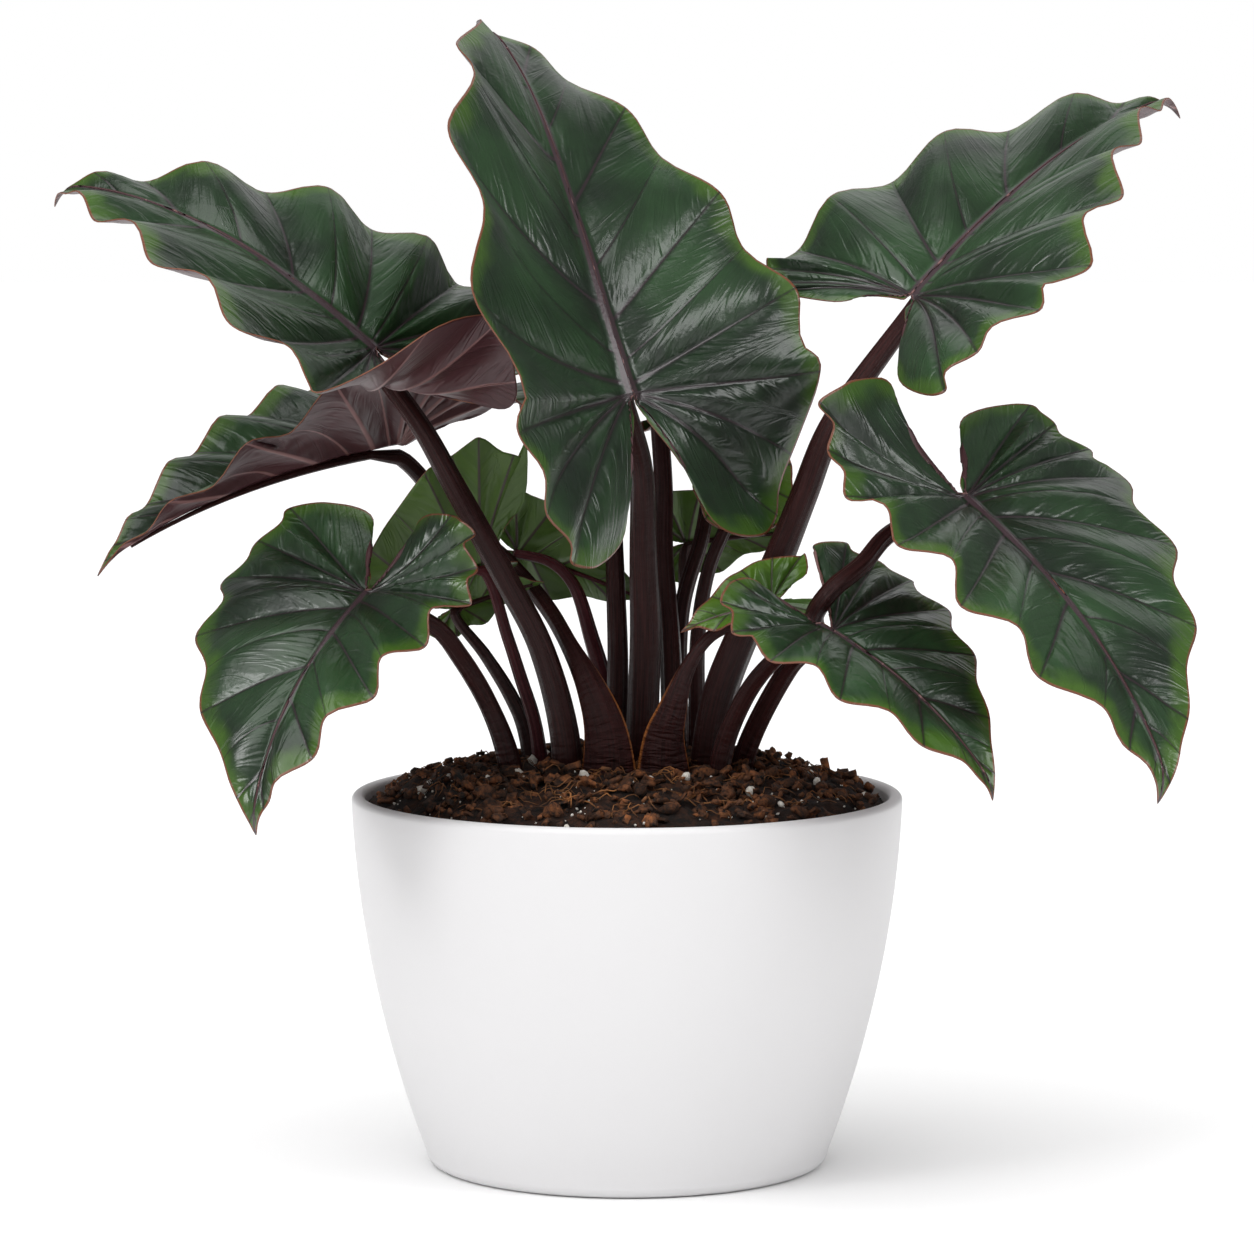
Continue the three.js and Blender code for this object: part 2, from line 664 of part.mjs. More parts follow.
function soilGeometry() {
  const points = [];
  const index = [];
  const insideRadius = (z) => potRadius(z) - POT_WALL - GAP;
  const ring = (radiusOf, heightOf) => {
    for (let s = 0; s < SOIL_SEGMENTS; s++) {
      const turn = (2 * Math.PI * s) / SOIL_SEGMENTS;
      const r = radiusOf(turn);
      const [x, y] = [r * Math.cos(turn), r * Math.sin(turn)];
      points.push(new THREE.Vector3(x, y, heightOf(x, y)));
    }
  };
  points.push(new THREE.Vector3(0, 0, soilTop(0, 0)));
  for (let k = 1; k <= SOIL_RINGS; k++) {
    ring(() => ((insideRadius(SOIL_EDGE) - 0.5) * k) / SOIL_RINGS, soilTop);
  }
  for (const z of [110, 60, POT_FLOOR + GAP]) ring(() => insideRadius(z) - 0.4, () => z);
  points.push(new THREE.Vector3(0, 0, POT_FLOOR + GAP));
  const rings = SOIL_RINGS + 3;
  for (let s = 0; s < SOIL_SEGMENTS; s++) {
    const next = (s + 1) % SOIL_SEGMENTS;
    index.push(0, 1 + s, 1 + next);
    for (let k = 0; k + 1 < rings; k++) {
      const [a, b] = [1 + k * SOIL_SEGMENTS + s, 1 + k * SOIL_SEGMENTS + next];
      index.push(a, a + SOIL_SEGMENTS, b + SOIL_SEGMENTS, a, b + SOIL_SEGMENTS, b);
    }
    const low = 1 + (rings - 1) * SOIL_SEGMENTS;
    index.push(low + s, points.length - 1, low + next);
  }
  return closedGeometry(points, index);
}

function toSolid(geometry) {
  return new wasm.Manifold(new wasm.Mesh({
    numProp: 3,
    vertProperties: new Float32Array(geometry.getAttribute('position').array),
    triVerts: new Uint32Array(geometry.index.array),
  }));
}

function fromSolid(solid) {
  const mesh = solid.getMesh();
  const geometry = new THREE.BufferGeometry();
  geometry.setAttribute('position', new THREE.BufferAttribute(mesh.vertProperties, 3));
  geometry.setIndex(new THREE.BufferAttribute(mesh.triVerts, 1));
  geometry.computeVertexNormals();
  return geometry;
}

// Assembly

const plant = new THREE.Group();

function add(name, geometry, material) {
  const mesh = new THREE.Mesh(geometry, material);
  mesh.name = name;
  plant.add(mesh);
}

add('pot', potGeometry(), POT_WHITE);

let soil = toSolid(soilGeometry());
for (const leaf of LEAVES) {
  const rings = stemRings(leaf);
  add(`blade_${leaf.name}`, bladeGeometry(leaf), leaf.young ? YOUNG_GREEN : LEAF_GREEN);
  add(`stem_${leaf.name}`, tubeGeometry(rings), leaf.red ? STEM_RED : STEM_PURPLE);
  const hole = rings.slice(0, 5).map(({ centre, across, deep }) => (
    { centre: centre.clone(), across: across + GAP, deep: deep + GAP }
  ));
  hole[0].centre.z -= GAP;
  soil = soil.subtract(toSolid(tubeGeometry(hole)));
}
add('soil', fromSolid(soil), SOIL_BROWN);

export default plant;
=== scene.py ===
# %% [markdown]
# # Potted dark star alocasia
#
# A dark-leaved house plant stands in a plain white pot. Its leaves are arrow-shaped, waved at the
# margin and quilted between sunken veins, and each stands on its own purple stalk.
#
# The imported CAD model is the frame: it fixes every size and place. This script dresses it. Each
# solid is replaced by a finer piece of the same form, crumbs lie on the soil, and the materials,
# the light and the camera are added.

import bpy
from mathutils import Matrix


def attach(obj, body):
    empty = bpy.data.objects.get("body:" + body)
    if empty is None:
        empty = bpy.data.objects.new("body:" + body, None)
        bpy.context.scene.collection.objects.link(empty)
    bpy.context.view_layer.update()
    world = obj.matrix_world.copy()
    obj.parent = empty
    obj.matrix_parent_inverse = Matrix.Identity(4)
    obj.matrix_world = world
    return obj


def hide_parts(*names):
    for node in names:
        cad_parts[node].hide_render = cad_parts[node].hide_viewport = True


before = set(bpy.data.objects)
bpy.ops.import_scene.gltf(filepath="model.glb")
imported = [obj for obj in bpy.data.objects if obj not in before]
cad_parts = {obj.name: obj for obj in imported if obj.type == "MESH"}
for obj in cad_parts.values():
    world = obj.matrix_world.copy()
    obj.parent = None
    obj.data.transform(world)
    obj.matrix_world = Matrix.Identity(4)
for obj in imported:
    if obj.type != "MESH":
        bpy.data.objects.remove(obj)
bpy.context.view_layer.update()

# %% [markdown]
# ## Measures and helpers
#
# The plant is worked out in millimetres, as in the CAD source, and each finished mesh is scaled to
# metres once. Real leaves are never copies of one another, so random draws decide small things.
# They come from one seeded generator, and every run draws the same plant.

# %% Measures and helpers
import math
import random

import bmesh
import bpy
from mathutils import Euler, Matrix, Vector, kdtree, noise

MM = 0.001
draw = random.Random(11)


def clamp(value, low=0.0, high=1.0):
    return max(low, min(high, value))


def smooth(value):
    share = clamp(value)
    return share * share * (3 - 2 * share)


def mix(a, b, share):
    return a + (b - a) * share


print("One millimetre is", MM, "Blender units")

# %% [markdown]
# ## From a bmesh to a piece
#
# A bmesh is Blender's editable mesh, held in memory. When a piece's form is done, one function
# turns it into an object: it scales it to metres, shades it smooth, gives it its materials, hangs
# it from the root and hides the CAD solids that it stands for.

# %% From a bmesh to a piece
def finish_piece(bm, name, materials, nodes=()):
    bmesh.ops.scale(bm, vec=(MM, MM, MM), verts=bm.verts)
    mesh = bpy.data.meshes.new(name)
    bm.to_mesh(mesh)
    bm.free()
    mesh.shade_smooth()
    for material in materials:
        mesh.materials.append(material)
    piece = bpy.data.objects.new(name, mesh)
    bpy.context.collection.objects.link(piece)
    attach(piece, "root")
    if nodes:
        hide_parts(*nodes)
    print(name, "has", len(mesh.polygons), "faces")
    return piece


# %% [markdown]
# ## Colours and shader nodes
#
# A colour picked from a swatch is an sRGB hex value, but shaders work in linear light, so one
# function turns it. Another adds a shader node with its settings and links in one call, which
# keeps each material short enough to read as a recipe.

# %% Colours and shader nodes
def linear(hex_colour):
    channels = [int(hex_colour[k:k + 2], 16) / 255 for k in (1, 3, 5)]
    return (*[c / 12.92 if c <= 0.04045 else ((c + 0.055) / 1.055) ** 2.4 for c in channels], 1.0)


def add_node(tree, kind, inputs=None, **settings):
    made = tree.nodes.new(kind)
    for name, value in settings.items():
        setattr(made, name, value)
    for socket, value in (inputs or {}).items():
        if isinstance(value, bpy.types.NodeSocket):
            tree.links.new(value, made.inputs[socket])
        else:
            made.inputs[socket].default_value = value
    return made


def new_material(name):
    material = bpy.data.materials.new(name)
    material.use_nodes = True
    shader = material.node_tree.nodes["Principled BSDF"]
    return material, material.node_tree, shader


print("White in linear light is", linear("#ffffff"))

# %% [markdown]
# ## Camera and light
#
# The photograph is a studio shot from a little above the leaves' middle, looking slightly down.
# Its lens is long, so the camera stands well back. Background and floor are white. Most of the
# light is a wide, soft daylight from above, which leaves almost no hard shadow, and a key and a
# fill panel shape the pot. The wax of the leaves mirrors the panels but not the daylight, and
# three panels light nothing matt: they are there for the sheen alone, as a photographer places a
# large diffuser. The room is dimmer for mirrored rays than for the eye, so that the dark greens
# stay dark.

# %% Camera
CAMERA_PLACE = (0.0, -2.250, 0.457)
CAMERA_DOWN = math.radians(5.63)
CAMERA_LENS = 149
CAMERA_SENSOR = 36

camera = bpy.data.objects.new("camera", bpy.data.cameras.new("camera"))
bpy.context.collection.objects.link(camera)
camera.location = CAMERA_PLACE
camera.rotation_euler = (math.pi / 2 - CAMERA_DOWN, 0, 0)
camera.data.lens = CAMERA_LENS
camera.data.sensor_width = CAMERA_SENSOR
bpy.context.scene.camera = camera
print("The camera is", round(-CAMERA_PLACE[1], 2), "metres in front of the pot")

# %% Soft panels and a pale room
PLANT_MIDDLE = Vector((0, 0, 0.28))
# Each panel has its place, its width in metres, its power in watts, and whether it lights matt
# surfaces too.
PANELS = {
    "key": ((-1.7, -1.3, 1.3), 0.7, 12, True),
    "fill": ((1.9, -0.9, 1.1), 0.7, 8, True),
    "sheen left": ((-1.1, -1.2, 2.2), 2.3, 30, False),
    "sheen right": ((1.5, -1.6, 1.6), 1.0, 14, False),
    "sheen back": ((0.3, 1.9, 2.2), 2.6, 10, False),
}
DAYLIGHT_STRENGTH = 3.0
DAYLIGHT_SPREAD = math.radians(80)
DAYLIGHT_TURN = (math.radians(8), math.radians(-5), 0)
ROOM_ON_MATT = 0.3
ROOM_MIRRORED = 0.14

for name, (place, width, power, lights_matt) in PANELS.items():
    light = bpy.data.lights.new(name, "AREA")
    light.shape = "SQUARE"
    light.size = width
    light.energy = power
    panel = bpy.data.objects.new(name, light)
    panel.location = place
    panel.visible_diffuse = lights_matt
    panel.visible_camera = False
    panel.rotation_euler = (PLANT_MIDDLE - Vector(place)).to_track_quat("-Z", "Y").to_euler()
    bpy.context.collection.objects.link(panel)

light = bpy.data.lights.new("daylight", "SUN")
light.energy = DAYLIGHT_STRENGTH
light.angle = DAYLIGHT_SPREAD
daylight = bpy.data.objects.new("daylight", light)
daylight.rotation_euler = DAYLIGHT_TURN
daylight.visible_glossy = False
bpy.context.collection.objects.link(daylight)

world = bpy.data.worlds.new("white room")
world.use_nodes = True
tree = world.node_tree
ray = add_node(tree, "ShaderNodeLightPath")
dimmer = add_node(tree, "ShaderNodeMapRange", {
    "Value": ray.outputs["Is Glossy Ray"], "To Min": ROOM_ON_MATT, "To Max": ROOM_MIRRORED,
})
room = add_node(tree, "ShaderNodeBackground", {"Color": linear("#ffffff"), "Strength": dimmer.outputs[0]})
seen = add_node(tree, "ShaderNodeBackground", {"Color": linear("#ffffff"), "Strength": 1.0})
both = add_node(tree, "ShaderNodeMixShader", {
    0: ray.outputs["Is Camera Ray"], 1: room.outputs[0], 2: seen.outputs[0],
})
tree.links.new(both.outputs[0], tree.nodes["World Output"].inputs["Surface"])
bpy.context.scene.world = world
bpy.context.scene.view_settings.view_transform = "Standard"
print(len(PANELS), "panels and a wide daylight stand round the plant")

# %% Pale floor
FLOOR_HALF_WIDTH = 12

floor_paper, _, shader = new_material("matt white floor paper")
shader.inputs["Base Color"].default_value = linear("#fafafa")
shader.inputs["Roughness"].default_value = 0.9
bm = bmesh.new()
bmesh.ops.create_grid(bm, x_segments=1, y_segments=1, size=FLOOR_HALF_WIDTH)
mesh = bpy.data.meshes.new("floor")
bm.to_mesh(mesh)
bm.free()
mesh.materials.append(floor_paper)
floor = bpy.data.objects.new("floor", mesh)
bpy.context.collection.objects.link(floor)
print("The floor is level with the pot's base")

# %% [markdown]
# ## The blade's face
#
# The upper face of a leaf is a thin waxy skin over dark green tissue. The wax is a coat over the
# green: it takes a soft grey sheen where it faces a panel, and the dark green shows elsewhere.
# Along the grain of the fine veins the green is also painted a little lighter and darker: painted
# sheen and painted shade on their creases. The blade thins towards its margin, so the green gets
# warmer and yellower there, and the very margin is a thin brown line. The veins are dark purple,
# each in a groove, and the colour beside each vein is painted darker: painted shade in the groove.
#
# All of this follows the leaf and not the room, so the pattern reads distances that are stored on
# the mesh: from the midrib and the nearest vein, in half widths of either, and in millimetres from
# the margin. Each band of colour is laid over the last one where its distance is short. Only the
# soft patches, the drift of the margin's green and the pores read Object coordinates. Those are
# metres, so a pattern's size in millimetres is turned to metres first.

# %% Measures that a blade carries
BLADE_MEASURES = ("rib", "vein", "edge", "feather", "reach", "draw")
print("Each point of a blade knows", ", ".join(BLADE_MEASURES))


def blade_measures(tree):
    return {
        name: add_node(tree, "ShaderNodeAttribute", attribute_name=name).outputs["Fac"]
        for name in BLADE_MEASURES
    }


# %% Fine veins between the side veins
FINE_VEIN_GAP = 3.5
GAPS_IN_A_SWELL = 2.5
# Each vein has a random number. Spread this far apart, no two veins have the same pattern.
NOISE_APART = 40


def fine_vein_relief(tree, at):
    """Creases run out from each side vein like the barbs of a feather, and fade away from it."""
    grain_place = add_node(tree, "ShaderNodeCombineXYZ", {
        "X": at["feather"], "Y": at["reach"], "Z": at["draw"],
    })
    stretched = add_node(tree, "ShaderNodeMapping", {
        "Vector": grain_place.outputs[0], "Scale": (1, 0.5, NOISE_APART),
    })
    grain = add_node(tree, "ShaderNodeTexNoise", {
        "Vector": stretched.outputs[0], "Scale": 1 / (GAPS_IN_A_SWELL * FINE_VEIN_GAP), "Detail": 1.2,
        "Roughness": 0.4, "Distortion": 1.0,
    })
    off_line = add_node(tree, "ShaderNodeMath", {0: grain.outputs["Fac"], 1: 0.5}, operation="SUBTRACT")
    from_crease = add_node(tree, "ShaderNodeMath", {0: off_line.outputs[0]}, operation="ABSOLUTE")
    ridge = add_node(tree, "ShaderNodeMapRange", {
        "Value": from_crease.outputs[0], "From Max": 0.24,
    }, interpolation_type="SMOOTHSTEP")
    fade = add_node(tree, "ShaderNodeMapRange", {
        "Value": at["reach"], "From Min": 2.0, "From Max": 20.0, "To Min": 1.0, "To Max": 0.35,
    })
    off_vein = add_node(tree, "ShaderNodeMapRange", {
        "Value": at["vein"], "From Min": 1.0, "From Max": 3.5,
    }, interpolation_type="SMOOTHSTEP")
    off_rib = add_node(tree, "ShaderNodeMapRange", {
        "Value": at["rib"], "From Min": 1.2, "From Max": 3.0,
    }, interpolation_type="SMOOTHSTEP")
    height = ridge.outputs[0]
    for share in (fade, off_vein, off_rib):
        height = add_node(tree, "ShaderNodeMath", {
            0: height, 1: share.outputs[0],
        }, operation="MULTIPLY").outputs[0]
    return height, grain.outputs["Fac"]


print("Fine veins lie about", FINE_VEIN_GAP, "mm apart")

# %% Bands of colour
def with_bands(tree, colour, bands):
    """Lays each hex colour over the last where a distance goes from far to close, up to a share."""
    for distance, far, close, share, band_colour in bands:
        cover = add_node(tree, "ShaderNodeMapRange", {
            "Value": distance, "From Min": far, "From Max": close, "To Max": share,
        }, interpolation_type="SMOOTHSTEP")
        colour = add_node(tree, "ShaderNodeMixRGB", {
            "Fac": cover.outputs[0], "Color1": colour, "Color2": linear(band_colour),
        }).outputs[0]
    return colour


print("Each band of colour fades in over a distance of its own")

# %% Upper face of a blade
GREEN_PATCH = 45
MARGIN_DRIFT = 20
WAX_PORE = 1.8
BROWN_PINK = "#70402a"


def blade_face(name, shaded, lit, warm, groove_shade, vein_colour, rib_colour):
    material, tree, shader = new_material(name)
    at = blade_measures(tree)
    humps, grain = fine_vein_relief(tree, at)
    object_place = add_node(tree, "ShaderNodeTexCoord").outputs["Object"]
    patches = add_node(tree, "ShaderNodeTexNoise", {
        "Vector": object_place, "Scale": 1 / (GREEN_PATCH * MM), "Detail": 3.0,
    })
    patch_share = add_node(tree, "ShaderNodeMapRange", {
        "Value": patches.outputs["Fac"], "From Min": 0.35, "From Max": 0.65,
    })
    body = add_node(tree, "ShaderNodeMixRGB", {
        "Fac": patch_share.outputs[0], "Color1": linear(shaded), "Color2": linear(lit),
    })
    # Painted sheen and shade: the green is painted lighter and darker along the fine veins' grain.
    sheen_streak = add_node(tree, "ShaderNodeMapRange", {
        "Value": grain, "From Min": 0.3, "From Max": 0.75, "To Min": 0.9, "To Max": 1.12,
    })
    sheen_streaked = add_node(tree, "ShaderNodeVectorMath", {
        0: body.outputs[0], "Scale": sheen_streak.outputs[0],
    }, operation="SCALE")
    drift_noise = add_node(tree, "ShaderNodeTexNoise", {
        "Vector": object_place, "Scale": 1 / (MARGIN_DRIFT * MM),
    })
    drift = add_node(tree, "ShaderNodeMapRange", {
        "Value": drift_noise.outputs["Fac"], "From Min": 0.3, "From Max": 0.7, "To Min": -4.0,
        "To Max": 3.8,
    })
    near_edge = add_node(tree, "ShaderNodeMath", {0: at["edge"], 1: drift.outputs[0]})
    colour = with_bands(tree, sheen_streaked.outputs[0], [
        (near_edge.outputs[0], 9.0, 0.0, 0.7, warm),
        (at["edge"], 1.0, 0.45, 1.0, BROWN_PINK),
        # Painted shade: beside each vein and lesser vein the colour is painted darker.
        (at["vein"], 3.2, 1.2, 0.5, groove_shade),
        (at["vein"], 1.1, 0.5, 0.95, vein_colour),
        (at["rib"], 1.25, 0.9, 1.0, rib_colour),
    ])
    tree.links.new(colour, shader.inputs["Base Color"])
    shader.inputs["Roughness"].default_value = 0.4
    shader.inputs["IOR"].default_value = 1.45
    shader.inputs["Specular IOR Level"].default_value = 0.3
    shader.inputs["Coat Weight"].default_value = 0.9
    shader.inputs["Coat Roughness"].default_value = 0.25
    shader.inputs["Coat IOR"].default_value = 1.5
    pores = add_node(tree, "ShaderNodeTexNoise", {
        "Vector": object_place, "Scale": 1 / (WAX_PORE * MM), "Detail": 2.0,
    })
    quilt = add_node(tree, "ShaderNodeBump", {"Height": humps, "Distance": 0.0005, "Strength": 0.6})
    skin = add_node(tree, "ShaderNodeBump", {
        "Height": pores.outputs["Fac"], "Distance": 0.0003, "Strength": 0.35,
        "Normal": quilt.outputs[0],
    })
    tree.links.new(skin.outputs[0], shader.inputs["Normal"])
    tree.links.new(skin.outputs[0], shader.inputs["Coat Normal"])
    return material


# The fifth colour is the painted shade beside the veins.
leaf_face = blade_face("waxy dark green leaf face", "#132214", "#244022", "#426416", "#090e09",
                       "#2a1f23", "#3b2b30")
young_face = blade_face("waxy young leaf face", "#233c10", "#3a5a16", "#55791a", "#10190b",
                        "#33261f", "#43302b")
print("Materials:", leaf_face.name, "and", young_face.name)

# %% [markdown]
# ## The blade's underside
#
# Underneath, a grown leaf is purplish brown and duller, because its skin holds red pigment and
# less wax. Its veins stand out there as ribs. Along the grain of the fine veins its tissue is
# paler, partly a tone of its own and partly a painted sheen. The young leaves are still olive
# green below.

# %% Underside of a blade
def blade_underside(name, dull, pale_tone_and_sheen, vein_colour):
    material, tree, shader = new_material(name)
    at = blade_measures(tree)
    humps, grain = fine_vein_relief(tree, at)
    # Partly painted sheen: the tissue is paler along the grain of the fine veins.
    tissue = add_node(tree, "ShaderNodeMixRGB", {
        "Fac": grain, "Color1": linear(dull), "Color2": linear(pale_tone_and_sheen),
    })
    colour = with_bands(tree, tissue.outputs[0], [(at["vein"], 2.2, 0.8, 0.9, vein_colour)])
    tree.links.new(colour, shader.inputs["Base Color"])
    shader.inputs["Roughness"].default_value = 0.42
    shader.inputs["IOR"].default_value = 1.45
    relief = add_node(tree, "ShaderNodeBump", {
        "Height": humps, "Distance": 0.00035, "Strength": 0.6,
    }, invert=True)
    tree.links.new(relief.outputs[0], shader.inputs["Normal"])
    return material


leaf_underside = blade_underside("purple leaf underside", "#391f22", "#523235", "#84605e")
young_underside = blade_underside("olive young leaf underside", "#344d19", "#4f6c26", "#3b2a2b")
margin_skin, _, shader = new_material("brown pink leaf margin")
shader.inputs["Base Color"].default_value = linear(BROWN_PINK)
shader.inputs["Roughness"].default_value = 0.45
print("Materials:", leaf_underside.name, "and", young_underside.name, "and", margin_skin.name)

# %% [markdown]
# ## The stalks' skin
#
# A leaf stalk is round, firm and dark purple brown, with a satin skin. It is finely lined along
# its length, so light draws long grey streaks on it, and these grey streaks are also painted into
# its colour as a paler brown along the lines: painted highlight. Near the soil the skin of a wide
# stalk is wrinkled across, like the creases at a knuckle, and the thin wings of its foot end in an
# orange brown line.

# %% Skin of a stalk
STALK_MEASURES = ("along", "around", "ripple", "wing")
LINES_PER_MM = 0.9
LINE_STRETCH = (1, 0.035, 1)
CREASES_PER_MM = 0.45
CREASE_STRETCH = (0.22, 1, 1)


def stalk_skin(name, dark, pale, wing_colour):
    material, tree, shader = new_material(name)
    at = {key: add_node(tree, "ShaderNodeAttribute", attribute_name=key).outputs["Fac"]
          for key in STALK_MEASURES}
    place = add_node(tree, "ShaderNodeCombineXYZ", {"X": at["around"], "Y": at["along"]})
    long_place = add_node(tree, "ShaderNodeMapping", {"Vector": place.outputs[0], "Scale": LINE_STRETCH})
    lines = add_node(tree, "ShaderNodeTexNoise", {
        "Vector": long_place.outputs[0], "Scale": LINES_PER_MM, "Detail": 5.0, "Roughness": 0.65,
    })
    cross_place = add_node(tree, "ShaderNodeMapping", {
        "Vector": place.outputs[0], "Scale": CREASE_STRETCH,
    })
    creases = add_node(tree, "ShaderNodeTexNoise", {
        "Vector": cross_place.outputs[0], "Scale": CREASES_PER_MM, "Detail": 3.0,
        "Roughness": 0.5, "Distortion": 0.6,
    })
    # Painted highlight: the skin is painted paler along its fine lines, as long grey streaks.
    highlight_streaks = add_node(tree, "ShaderNodeMapRange", {
        "Value": lines.outputs["Fac"], "From Min": 0.3, "From Max": 0.7,
    })
    skin = add_node(tree, "ShaderNodeMixRGB", {
        "Fac": highlight_streaks.outputs[0], "Color1": linear(dark), "Color2": linear(pale),
    })
    wing = add_node(tree, "ShaderNodeMixRGB", {
        "Fac": at["wing"], "Color1": skin.outputs[0], "Color2": linear(wing_colour),
    })
    tree.links.new(wing.outputs[0], shader.inputs["Base Color"])
    shader.inputs["Roughness"].default_value = 0.34
    shader.inputs["IOR"].default_value = 1.45
    shader.inputs["Specular IOR Level"].default_value = 0.22
    lined = add_node(tree, "ShaderNodeBump", {
        "Height": lines.outputs["Fac"], "Distance": 0.0016, "Strength": 0.5,
    })
    creased = add_node(tree, "ShaderNodeBump", {
        "Height": creases.outputs["Fac"], "Distance": 0.004, "Strength": at["ripple"],
        "Normal": lined.outputs[0],
    })
    tree.links.new(creased.outputs[0], shader.inputs["Normal"])
    return material


# The paler colour of each skin is its painted highlight streak.
purple_skin = stalk_skin("purple brown stalk skin", "#160807", "#3c1b1a", "#9a5c2c")
red_skin = stalk_skin("dark red stalk skin", "#2a0c10", "#521c22", "#9a5c2c")
print("Materials:", purple_skin.name, "and", red_skin.name)

# %% [markdown]
# ## The outline of a blade
#
# One half of the flat blade is an arrow's half: from the tip along the margin, past the joint of
# the stalk, round the lobe and back. A smooth curve through fifteen points draws it, and each
# half of each leaf has its own width and lobe. The points are numbered from the tip, so a place
# on the margin is a station such as 6.5.

# %% The outline of a blade
MARGIN = [(1, 0), (0.93, 0.055), (0.8, 0.21), (0.6, 0.47), (0.4, 0.71), (0.2, 0.9), (0, 1),
          (-0.3, 0.99), (-0.62, 0.86)]
JOINT_STATION = 5.6
LOBE_TIP_STATION = 10
LAST_STATION = 13
TIP_FILL_WEIGHTS = (0, 1, 1, 0.8, 0.4, 0, 0, 0, 0)
OPEN_ROOT = 0.045


def margin_points(half):
    tip = half["lobe_tip"]
    roundness = half.get("lobe_round", 0.5)
    if half.get("open"):
        inner = [(-0.82, 0.86 * tip), (-0.42, 0.52 * tip), (-0.05, 0.2 * tip)]
    else:
        inner = [(-0.86 - 0.07 * roundness, tip * (0.62 - 0.22 * roundness)), (-0.5, 0.29 * tip),
                 (-0.18, 0.035)]
    shoulder = (-0.88, 0.62 + 0.16 * roundness + 0.25 * (tip - 0.45))
    fill = half.get("tip_fill", 0)
    outer = [(x, y * (1 + fill * weight)) for (x, y), weight in zip(MARGIN, TIP_FILL_WEIGHTS)]
    return [Vector(p) for p in [*outer, shoulder, (-1, tip), *inner, (0, 0)]]


def margin_at(leaf, half, station):
    points = margin_points(half)
    k = min(int(station), len(points) - 2)
    u = station - k
    b, c = points[k], points[k + 1]
    a = points[k - 1] if k else 2 * b - c
    d = points[k + 2] if k + 2 < len(points) else 2 * c - b
    place = (2 * b + (c - a) * u + (2 * a - 5 * b + 4 * c - d) * u ** 2
             + (3 * b - a - 3 * c + d) * u ** 3) / 2
    x = place.x * leaf["length"] * (1 if place.x > 0 else half["lobe"])
    return x, max(place.y, 0) * half["width"]


def root_at(leaf, station):
    """Where on the midrib the line to this place of the margin starts."""
    end, _ = margin_at(leaf, leaf["left"], station)
    return clamp(end / leaf["length"]) ** 2 * leaf["length"]


print("The tip is station 0 and the lobe's tip is station", LOBE_TIP_STATION)

# %% [markdown]
# ## The midrib bent in space
#
# A blade hangs from its joint: the midrib leaves it in its own direction, then curls down and
# hooks over at the tip, and behind the joint the lobes droop or rise. The midrib is walked in
# short steps, each with its tangent, its side and its normal.

# %% The midrib bent in space
MIDRIB_STEPS = 160
HOOK_START = 0.86
CURL_POWER = 1.3
LOBE_FOLD_HASTE = 1.2


class Midrib:
    """The bent line along the middle of a blade, from the end of its lobes to its tip."""

    def __init__(self, leaf, half):
        heading, pitch, roll = (math.radians(leaf[key]) for key in ("heading", "pitch", "roll"))
        forward = Vector((math.cos(heading) * math.cos(pitch), math.sin(heading) * math.cos(pitch),
                          math.sin(pitch)))
        level = Vector((-math.sin(heading), math.cos(heading), 0))
        up = forward.cross(level)
        left = level * math.cos(roll) + up * math.sin(roll)
        top = up * math.cos(roll) - level * math.sin(roll)
        self.back = half["lobe"] * leaf["length"]
        self.step = (leaf["length"] + self.back) / MIDRIB_STEPS
        self.rows = []
        place = Vector()
        for i in range(MIDRIB_STEPS + 1):
            x = i * self.step - self.back
            u = clamp(x / leaf["length"])
            v = clamp(-x / self.back)
            hooked = smooth((u - HOOK_START) / (1 - HOOK_START))
            droop = math.radians(leaf["curl"] * u ** CURL_POWER + leaf["hook"] * hooked
                                 - half["lobe_droop"] * v)
            swing = math.radians(leaf["sweep"]) * u
            ahead = forward * math.cos(swing) + left * math.sin(swing)
            side = left * math.cos(swing) - forward * math.sin(swing)
            tangent = ahead * math.cos(droop) - top * math.sin(droop)
            if self.rows:
                place = place + (self.rows[-1][1] + tangent) * (self.step / 2)
            self.rows.append((place, tangent, side, tangent.cross(side)))
        self.shift = Vector(leaf["joint"]) - self.at(0, shifted=False)[0]

    def at(self, x, shifted=True):
        """Place, tangent, side and normal at x millimetres in front of the joint."""
        f = clamp((x + self.back) / self.step, 0, MIDRIB_STEPS - 1e-6)
        k = int(f)
        place, *turns = (a.lerp(b, f - k) for a, b in zip(self.rows[k], self.rows[k + 1]))
        return (place + self.shift if shifted else place, *turns)


def blade_point(half, side, midrib, x, y, lift):
    """Where a point of the flat half blade lies once the blade is folded, arched and bent."""
    place, _, across, normal = midrib.at(x)
    back_share = smooth(LOBE_FOLD_HASTE * clamp(-x / midrib.back))
    fold = math.radians(mix(half["fold"], half["lobe_fold"], back_share))
    arch = math.radians(half["arch"])
    turn = fold - arch * y / half["width"]
    out = half["width"] / arch * (math.sin(fold) - math.sin(turn))
    rise = half["width"] / arch * (math.cos(turn) - math.cos(fold))
    up = normal * math.cos(turn) - across * (side * math.sin(turn)) if y else normal
    return place + across * (side * out) + normal * rise + up * lift


print("Each midrib is walked in", MIDRIB_STEPS, "steps")

# %% [markdown]
# ## Waves, veins and quilting
#
# The side veins run from the midrib to the margin, and grow slower than the tissue between them.
# So the margin swings out and down where each vein ends, the blade puffs up between two veins,
# and each vein lies in a valley, raised in it like a cord. A shallower valley with a lesser vein
# runs midway between two side veins, and creases run out from each vein. The lobes are calmer
# than the rest. The relief is worked out from the distance to the nearest vein, which a k-d tree
# finds: it holds points less than a millimetre apart along every vein.

# %% Waves of the blade
LOBE_WAVES = 0.45
